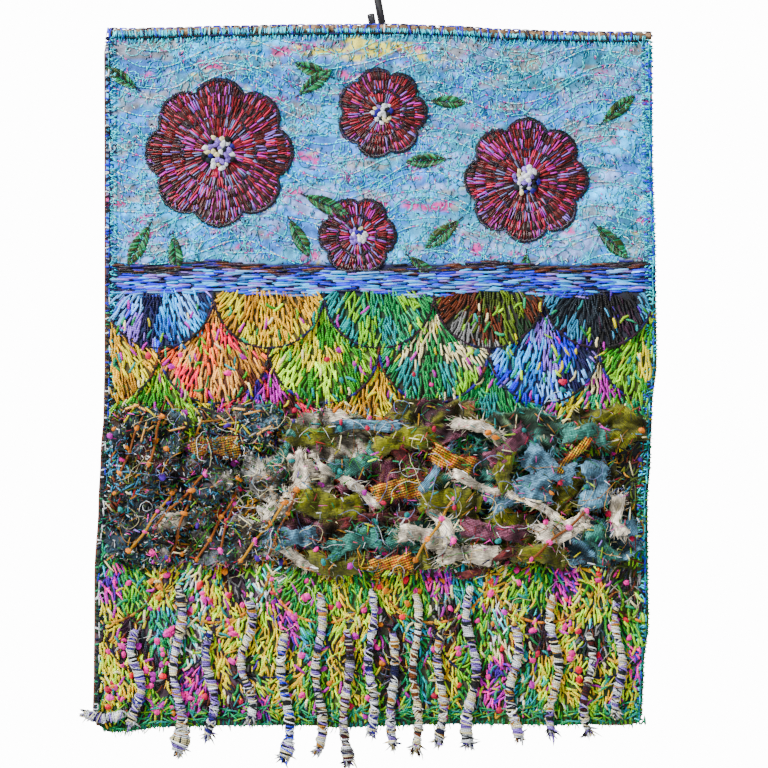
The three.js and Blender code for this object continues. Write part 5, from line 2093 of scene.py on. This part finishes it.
def edge_stitches(threads, across, down, outward, shift, reach, y_front, width, colours):
    """Threads that come out of the front, pass over an edge and go into the back."""
    edge = np.stack([across, down], axis=1)
    outward = np.tile(outward, (len(across), 1))
    start = edge - outward * reach[:, None] + shift
    y_back = back_y(across, down) + BACKING_GAP + BACKING_THICKNESS
    rows = [
        place(x, y, d)
        for (x, d), y in (
            (start.T, y_front + 0.4),
            ((start * 0.7 + edge * 0.3).T, y_front - 0.7),
            (edge.T, y_front - 0.5),
            ((edge + outward * 0.5).T, (y_front + y_back) / 2),
            (edge.T, y_back + 0.5),
            ((start * 0.5 + edge * 0.5).T, y_back + 0.6),
            (start.T, y_back - 0.5),
        )
    ]
    direction = np.stack([outward[:, 1], 0 * y_front, outward[:, 0]], axis=1)
    threads.add(np.stack(rows, axis=1), width, colours, reference=direction[:, None], sides=3)


def side_edge(threads, side, pitch, palettes, rng):
    count = int(PANEL_DROP / pitch)
    down = 8 + (np.arange(count) + rng.uniform(-0.3, 0.3, count)) * pitch
    down = down[down < PANEL_DROP - 3]
    count = len(down)
    across = edge_across(side, down)
    shift = np.stack([0 * down, rng.normal(0, 1.6, count)], axis=1)
    reach = rng.uniform(2.5, 6.5, count)
    y_front = front_y(across - side * 1.5, down)
    which = np.clip((down / PANEL_DROP * len(palettes)).astype(int), 0, len(palettes) - 1)
    colours = picked_by(which, palettes, rng)
    width = rng.uniform(1.0, 1.7, count)
    edge_stitches(threads, across, down, (side, 0.0), shift, reach, y_front, width, colours)


def hem_edge(threads, pitch, rng):
    count = int(PANEL_WIDTH / pitch)
    across = -HALF_WIDTH + (np.arange(count) + rng.uniform(-0.3, 0.3, count)) * pitch
    down = hem_down(across)
    shift = np.stack([rng.normal(0, 1.8, count), 0 * across], axis=1)
    reach = rng.uniform(2.5, 7, count)
    y_front = front_y(across, down - 1.5)
    colours = pick("hem_edge", count, rng)
    width = rng.uniform(1.0, 1.8, count)
    edge_stitches(threads, across, down, (0.0, 1.0), shift, reach, y_front, width, colours)


def short_row(threads, x, d, dx, dd, lift, width, palette, rng):
    """One row of short stitches from the given places, kept on the cloth."""
    ends = (x, d, x + dx, d + dd)
    keep = both(inside_cloth, ends, 0.6)
    threads.sew(ends, lift, width, pick(palette, keep.sum(), rng, 0.2), keep, steps=5)


def side_rows(threads, side, palette, low_palette, line, low_share, rng):
    """Two rows of level stitches and one couched line just inside a side edge."""
    count, pitch = SIDE_ROW
    for inset, reach in ((1.6, 3.4), (4.4, 3.0)):
        d = 9 + np.arange(count) * pitch + rng.normal(0, 0.4, count)
        lower = rng.random(count) < low_share * smoothstep(d, 190, 300)
        slant = rng.normal(0, 1.7, count)
        x = edge_across(side, d) - side * (inset + reach)
        for choose, name in ((~lower, palette), (lower, low_palette)):
            long = side * reach * rng.uniform(0.6, 1.25, choose.sum())
            short_row(threads, x[choose], d[choose], long, slant[choose], 0.9, 1.0, name, rng)
    count, pitch = SIDE_LINE
    d = 8 + np.arange(count) * pitch
    x = edge_across(side, d) - side * 2.2
    short_row(threads, x, d, rng.normal(0, 0.5, count), 5.8, 1.3, 1.2, line, rng)


def top_rows(threads, rng):
    """Upright stitches, and a couched dark line under the rolled edge that paints its shadow."""
    count, pitch = TOP_ROW
    x = -HALF_WIDTH + 3 + np.arange(count) * pitch + rng.normal(0, 0.4, count)
    top = top_droop(x) + BINDING_HEIGHT + 0.9
    dx = rng.normal(0, 1.0, count)
    short_row(threads, x, top, dx, rng.uniform(2.5, 5.0, count), 1.0, 1.0, "ground", rng)
    # The couched dark line: painted shadow under the rolled edge
    count, pitch = TOP_LINE
    x = -HALF_WIDTH + 4 + np.arange(count) * pitch
    top = top_droop(x) + BINDING_HEIGHT + 0.8
    short_row(threads, x, top, 8.4, rng.normal(0, 0.15, count), 1.5, 1.5, "top_line", rng)


def hem_rows(threads, rng):
    """Crossing stitches just above the hem, and loose ends that hang over it."""
    count = HEM_STITCHES
    x = rng.uniform(-HALF_WIDTH - 6, HALF_WIDTH, count)
    d = hem_down(x) - rng.uniform(1, 13, count)
    slope = rng.normal(0, 0.8, count)
    half = rng.uniform(3, 7, count)
    dx, dd = 2 * half * np.cos(slope), 2 * half * np.sin(slope)
    short_row(threads, x, d, dx, dd, 2.8, 1.0, "hem_edge", rng)
    count = HEM_ENDS
    x = rng.uniform(-HALF_WIDTH, HALF_WIDTH - 6, count)
    edge = hem_down(x)
    share = np.linspace(0, 1, 6)[None]
    across = x[:, None] + rng.normal(0, 2.2, (count, 1)) * share**2
    reach = rng.uniform(1.0, 4.5, (count, 1))
    down = edge[:, None] - 4 + (4 + reach) * share
    y = front_y(x, edge - 4)[:, None] - 0.8 + 2.2 * share
    width = rng.uniform(0.5, 1.1, count)
    threads.add(place(across, y, down), width, pick("hem_edge", count, rng, 0.3), sides=3)


def make_edge_rows():
    """Zigzag and couched rows just inside the four edges."""
    rng = seeded(503)
    threads = Threads()
    side_rows(threads, -1, "left_inner", "left_low", "left_edge", 0.97, rng)
    side_rows(threads, 1, "right_inner", "hem_edge", "right_edge", 0.4, rng)
    top_rows(threads, rng)
    hem_rows(threads, rng)
    return threads.build("edge_rows", WOOL)


def make_edges():
    rng = seeded(501)
    threads = Threads()
    for side, pitch, palettes in SIDE_EDGES:
        side_edge(threads, side, pitch, palettes, rng)
    for pitch in HEM_PITCHES:
        hem_edge(threads, pitch, rng)
    return threads.build("edge_stitches", WOOL)


def binding_centre(across):
    centre = top_droop(across) + BINDING_HEIGHT / 2
    return centre, back_y(across, centre) - PANEL_THICKNESS / 2


def make_binding():
    """The rolled top edge, with the folds of hand-rolled cloth."""
    share = np.arange(BINDING_STEPS + 1) / BINDING_STEPS
    across = blend(left_edge(0), right_edge(0), share)[:, None]
    centre, middle_y = binding_centre(across)
    angle = around(BINDING_SIDES)[None]
    lumps = 0.5 * (layered_noise(across, 2.2 + 2.0 * np.cos(angle), 4.0, 8) - 0.5)
    pinch = 0.24 * bump((across / 6.4 + 0.5) % 1 - 0.5, 0.2)
    uneven = 1.02 + 0.06 * np.sin(2 * (angle + across / 9)) + lumps - pinch
    y = middle_y - BINDING_DEPTH / 2 * uneven * np.cos(angle)
    down = centre - BINDING_HEIGHT / 2 * uneven * np.sin(angle)
    piece = tube("rolled_binding", place(across, y, down), GAUZE, flip=True)
    across, angle = (np.broadcast_to(v, y.shape).ravel() for v in (across, angle))
    tone = 0.12 + 1.5 * layered_noise(across, angle * 3, 6, 17) ** 1.5
    # Painted shade at the pinches of the roll
    tone = tone * (1 - 2.8 * np.repeat(pinch, BINDING_SIDES))
    paint(piece, COLOURS["roll_tan"] * tone[:, None])
    paint(piece, COLOURS["roll_brown"] * tone[:, None], "weft")
    set_vectors(piece, "weave", np.stack([across, angle * 2.7, 0 * across], 1) * MM)
    return piece


def whipped_over(threads, pitch, width, rng):
    """Stitches whipped over the rolled edge, from its foot in front to its back."""
    count = int((PANEL_WIDTH - 4) / pitch)
    across = -HALF_WIDTH + 3 + (np.arange(count) + rng.uniform(-0.3, 0.3, count)) * pitch
    centre, middle_y = binding_centre(across)
    lean = rng.uniform(-2.5, 2.5, count)
    foot = centre + BINDING_HEIGHT / 2 + rng.uniform(1.2, 3.8, count)
    half = BINDING_DEPTH / 2
    rows = [place(across + lean, front_y(across + lean, foot) + 0.4, foot)]
    for share, depth, out, rise, above in (
        (0.8, -1, -0.25, 0.4, 0),
        (0.5, -1, -0.45, 0, 0),
        (0.2, -0.8, 0, -0.42, 0),
        (0, 0, 0, -0.5, -0.35),
        (-0.2, 0.8, 0, -0.42, 0),
        (-0.5, 1, 0.3, 0, 0),
        (-1, 0.6, 0, 0.7, 0),
    ):
        y = middle_y + half * depth + out
        rows.append(place(across + lean * share, y, centre + BINDING_HEIGHT * rise + above))
    threads.add(np.stack(rows, axis=1), width, pick("top_edge", count, rng), reference=(1, 0, 0))


def ridge_line(threads, rng):
    """Long stitches that follow each other along the top of the rolled edge."""
    count, pitch = RIDGE_ROW
    x0 = -HALF_WIDTH + 2 + np.arange(count) * pitch
    share = np.linspace(0, 1, 6)[None]
    across = x0[:, None] + 6.6 * share
    centre, middle_y = binding_centre(across)
    ridge = centre - BINDING_HEIGHT * 0.44 - 0.35 * np.sin(math.pi * share)
    lines = place(across, middle_y - BINDING_DEPTH * 0.3, ridge)
    threads.add(lines, 1.0, pick("top_edge", count, rng), reference=(0, 0, 1))


def climbing_stitches(threads, rng):
    """Short stitches from the cloth up the front of the rolled edge."""
    count = CLIMBING_STITCHES
    across = rng.uniform(-HALF_WIDTH + 3, HALF_WIDTH - 3, count)
    centre, middle_y = binding_centre(across)
    climb = np.where(across < -50, rng.uniform(0.0, 0.55, count), rng.uniform(-0.35, 0.05, count))
    foot = centre + BINDING_HEIGHT / 2 + rng.uniform(0.8, 2.6, count)
    lean = rng.normal(0, 0.9, count)
    head = centre - climb * BINDING_HEIGHT / 2
    front = middle_y - BINDING_DEPTH / 2
    bulge = middle_y - BINDING_DEPTH / 2 * np.sqrt(1 - climb**2)
    rows = [
        place(across + lean, front_y(across + lean, foot) + 0.3, foot),
        place(across + lean * 0.7, front - 0.1, centre + BINDING_HEIGHT * 0.38),
        place(across + lean * 0.4, front - 0.4, centre + BINDING_HEIGHT * 0.2),
        place(across, bulge - 0.3, head),
        place(across, bulge + 0.6, head - 0.3),
    ]
    threads.add(np.stack(rows, axis=1), 0.8, pick("ground", count, rng, 0.3), reference=(1, 0, 0))


def make_binding_stitches():
    rng = seeded(502)
    threads = Threads()
    whipped_over(threads, 7.2, 1.05, rng)
    whipped_over(threads, 13.3, 0.8, rng)
    ridge_line(threads, rng)
    climbing_stitches(threads, rng)
    return threads.build("binding_stitches", SILK)


# Hook and loop
def hook_points():
    """The hook's centre line in its own plane: across and up."""
    cos, sin = math.cos(HOOK_LEAN), math.sin(HOOK_LEAN)
    stub = (LOWER_BEND_BELOW_EDGE + STUB_ABOVE_EDGE + LOWER_BEND * sin) / cos
    lower = np.linspace(-math.pi, 0, 40)
    upper = np.linspace(math.pi, 0, 48)
    across = np.concatenate([
        np.full(12, -2 * LOWER_BEND), LOWER_BEND * (np.cos(lower) - 1), np.zeros(16),
        UPPER_BEND * (np.cos(upper) + 1), np.full(6, 2 * UPPER_BEND),
    ])
    up = np.concatenate([
        np.linspace(stub, 0, 12, endpoint=False), LOWER_BEND * np.sin(lower),
        np.linspace(0, SHANK, 18)[1:-1], SHANK + UPPER_BEND * np.sin(upper),
        np.linspace(SHANK, SHANK - UPPER_TIP, 7)[1:],
    ])
    level = across * cos - up * sin + LOWER_BEND * cos
    height = across * sin + up * cos + LOWER_BEND * sin
    return np.stack([level * math.sin(HOOK_YAW), level * math.cos(HOOK_YAW), LOWER_CENTRE_Z + height], axis=1)


def make_hook():
    """The rod in rings of points, its two ends chamfered."""
    line = hook_points()
    tangent = normalised(np.gradient(line, axis=0))
    first = np.broadcast_to(np.array((math.cos(HOOK_YAW), -math.sin(HOOK_YAW), 0.0)), tangent.shape)
    second = np.cross(tangent, first)
    doubled_ends = np.r_[0, 0:len(line), len(line) - 1]
    first, second, tangent = first[doubled_ends], second[doubled_ends], tangent[doubled_ends]
    line = line[doubled_ends]
    radius = np.full(len(line), ROD_DIAMETER / 2)
    radius[[0, -1]] -= ROD_CHAMFER
    line[1] += tangent[1] * ROD_CHAMFER
    line[-2] -= tangent[-1] * ROD_CHAMFER
    angle = around(ROD_SIDES)[None, :, None]
    out = radius[:, None, None]
    rings = line[:, None] + first[:, None] * np.cos(angle) * out + second[:, None] * np.sin(angle) * out
    hook = tube("bent_rod_hook", rings, rod_material())
    smooth = np.arange(len(hook.data.polygons)) < 2 * ROD_SIDES * (len(line) - 1)
    hook.data.polygons.foreach_set("use_smooth", smooth)
    return hook


def make_loop():
    """The sewn loop that lies in the hook, as a plied cord."""
    back_face = PANEL_BACK_Y + BACKING_GAP + BACKING_THICKNESS + SEWN_GAP + LOOP_DIAMETER / 2
    seat = LOWER_SEAT_Z + SEWN_GAP + LOOP_DIAMETER / 2
    leg = [(side, back_face + out if y is None else y, seat - down) for side, y, out, down in LOOP_LEG]
    left = [(-side, y, z) for side, y, z in leg]
    line = smooth_line(np.array(left + [(0, 0, seat)] + leg[::-1], dtype=float), 90)
    threads = Threads()
    rng = seeded(601)
    colours = banded("felt", 400.0, rng)
    for k in range(3):
        wind(threads, line, np.full(90, 0.72), 7.0, 1.55, colours, 2 * math.pi * k / 3, 12)
    sewing = []
    for side in (-1, 1):
        for k in range(5):
            x = side * (15.9 + 0.2 * k)
            z = seat - 27 - 2 * k
            sewing.append([(x + across, back_face + y, z + up) for across, y, up in LOOP_STITCH])
    threads.add(np.array(sewing), 0.8, pick("hem_edge", len(sewing), rng), (0, 0, 1))
    return threads.build("loop_cord", WOOL)


# Setting
def make_floor():
    level = PANEL_TOP_Z - FLOOR_BELOW
    corners = ((-1, -1), (1, -1), (1, 1), (-1, 1))
    points = np.array([(x * FLOOR_HALF, y * FLOOR_HALF, level) for x, y in corners])
    new_object("floor", points, np.array([(0, 1, 2, 3)]), floor_material(), smooth=False)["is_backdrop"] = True


def aim(thing, target):
    direction = target - thing.location
    thing.rotation_euler = direction.to_track_quat("-Z", "Y").to_euler()


def make_light(name, location, size, energy, target):
    data = bpy.data.lights.new(name, "AREA")
    data.shape = "DISK"
    data.size = size
    data.energy = energy
    light = bpy.data.objects.new(name, data)
    bpy.context.scene.collection.objects.link(light)
    light.location = location
    aim(light, target)


def make_camera():
    middle_pixel = FRAME_PIXELS / 2
    x = PANEL_CENTRE_X + (middle_pixel - PANEL_MIDDLE_PIXEL_X) * MM_PER_PIXEL
    z = PANEL_TOP_Z - (middle_pixel - PANEL_TOP_PIXEL_Y) * MM_PER_PIXEL
    data = bpy.data.cameras.new("camera")
    data.sensor_width = SENSOR
    data.lens = SENSOR * CAMERA_DISTANCE / (FRAME_PIXELS * MM_PER_PIXEL)
    data.clip_end = 20
    camera = bpy.data.objects.new("camera", data)
    bpy.context.scene.collection.objects.link(camera)
    target = Vector((x, PANEL_BACK_Y - 4, z)) * MM
    camera.location = target + Vector((0, -CAMERA_DISTANCE * MM, 0))
    aim(camera, target)
    bpy.context.scene.camera = camera
    return target


def make_world():
    """White where the camera sees it, and a soft dim light on everything else."""
    world = bpy.data.worlds.new("studio")
    world.use_nodes = True
    tree = world.node_tree
    seen = tree.nodes["Background"]
    connect(tree, seen, {"Strength": SEEN_WHITE, "Color": WHITE})
    lighting = node(tree, "Background", {"Strength": ROOM_LIGHT, "Color": WHITE}, "Background")
    sockets = {
        "Fac": node(tree, "LightPath", {}, "Is Camera Ray"),
        1: lighting,
        2: seen.outputs["Background"],
    }
    connect(tree, tree.nodes["World Output"], {"Surface": node(tree, "MixShader", sockets, "Shader")})
    bpy.context.scene.world = world


def attach(piece, slot, *nodes):
    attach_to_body(piece, "root")
    if nodes:
        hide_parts(*nodes)
    return piece


target = make_camera()
make_world()
make_floor()
for light in LIGHTS:
    make_light(*light, target)

panel = attach(make_panel(), "stitched_cloth", "panel")
backing = attach(make_backing(), "backing_cloth", "backing")
binding = attach(make_binding(), "rolled_binding", "top_binding")
attach(make_hook(), "black_rod", "hook")
attach(make_loop(), "loop_cord", "hanging_loop")

sewn = [
    make_ground_stitches(),
    make_seed_stitches(),
    make_stray_stitches(),
    make_satin_band(),
    make_quilt_lines(),
    make_flowers(),
    make_leaves(),
    *(fan_stitches(*fans) for fans in FANS),
    make_scale_rims(),
    *(scattered_stitches(*thrown) for thrown in THROWN),
    make_edges(),
    make_edge_rows(),
    make_binding_stitches(),
    *scattered_knots(),
    *flower_hearts(),
]
for piece in sewn:
    attach(piece, "stitched_cloth")

rims = []
tops = []
for number, scrap in enumerate(SCRAPS):
    piece, top = make_scrap(number, scrap)
    area = sheet_area(top)
    cloth = SCRAP_CLOTHS[number % len(SCRAP_CLOTHS)]
    rims.append((top[-1], cloth))
    tops.append(top.reshape(-1, 3))
    attach(piece, f"scrap_{cloth}", f"scrap_{number + 1:02d}")

over = Relief()
for crumpled in tops:
    over.cover(crumpled)
strips, strip_rims, strip_points = make_strips(over.soft)
for laid_strip in strip_points:
    over.cover(laid_strip)
couched = [couched_path(*yarn) for yarn in COUCHED_YARNS]
couched_x = np.concatenate([x[1::5] for x, d in couched])
couched_d = np.concatenate([d[1::5] for x, d in couched])
rng = seeded(114)
x = rng.uniform(*KNOTS_ACROSS, SCRAP_KNOTS)
d = rng.uniform(BAND_TOP, BAND_FOOT, SCRAP_KNOTS)
for piece in (
    strips,
    make_frayed_ends(rims + strip_rims),
    make_over_stitches(over),
    make_hairs(over),
    make_knots("scrap_knots", x, d, SCRAP_KNOT, "band_knots", 115, over),
    make_knots("couched_knots", couched_x, couched_d, COUCHED_KNOT, "couched_knots", 116, over),
):
    sewn.append(attach(piece, "stitched_cloth"))

for number, cord in enumerate(CORDS):
    line = cord_line(cord)
    radius = cord_radius(np.linspace(0, 1, 60), cord)
    name = f"wrapped_cord_{number + 1:02d}"
    piece = make_cord(f"{name}_wraps", line, radius, CORD_WRAPS[number], 400 + number, CORD_FRAYS)
    attach(piece, "wrapped_cord", name)
side_radius = SIDE_CORD_DIAMETER / 2 * (0.75 + 0.25 * np.sin(math.pi * np.linspace(0, 1, 60)))
piece = make_cord("side_cord_wraps", side_cord_line(), side_radius, "wrap_lilac", 430, SIDE_CORD_FRAYS)
attach(piece, "wrapped_cord", "side_cord")

corners = [[list(corner) for corner in box] for box in (cad_box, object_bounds())]
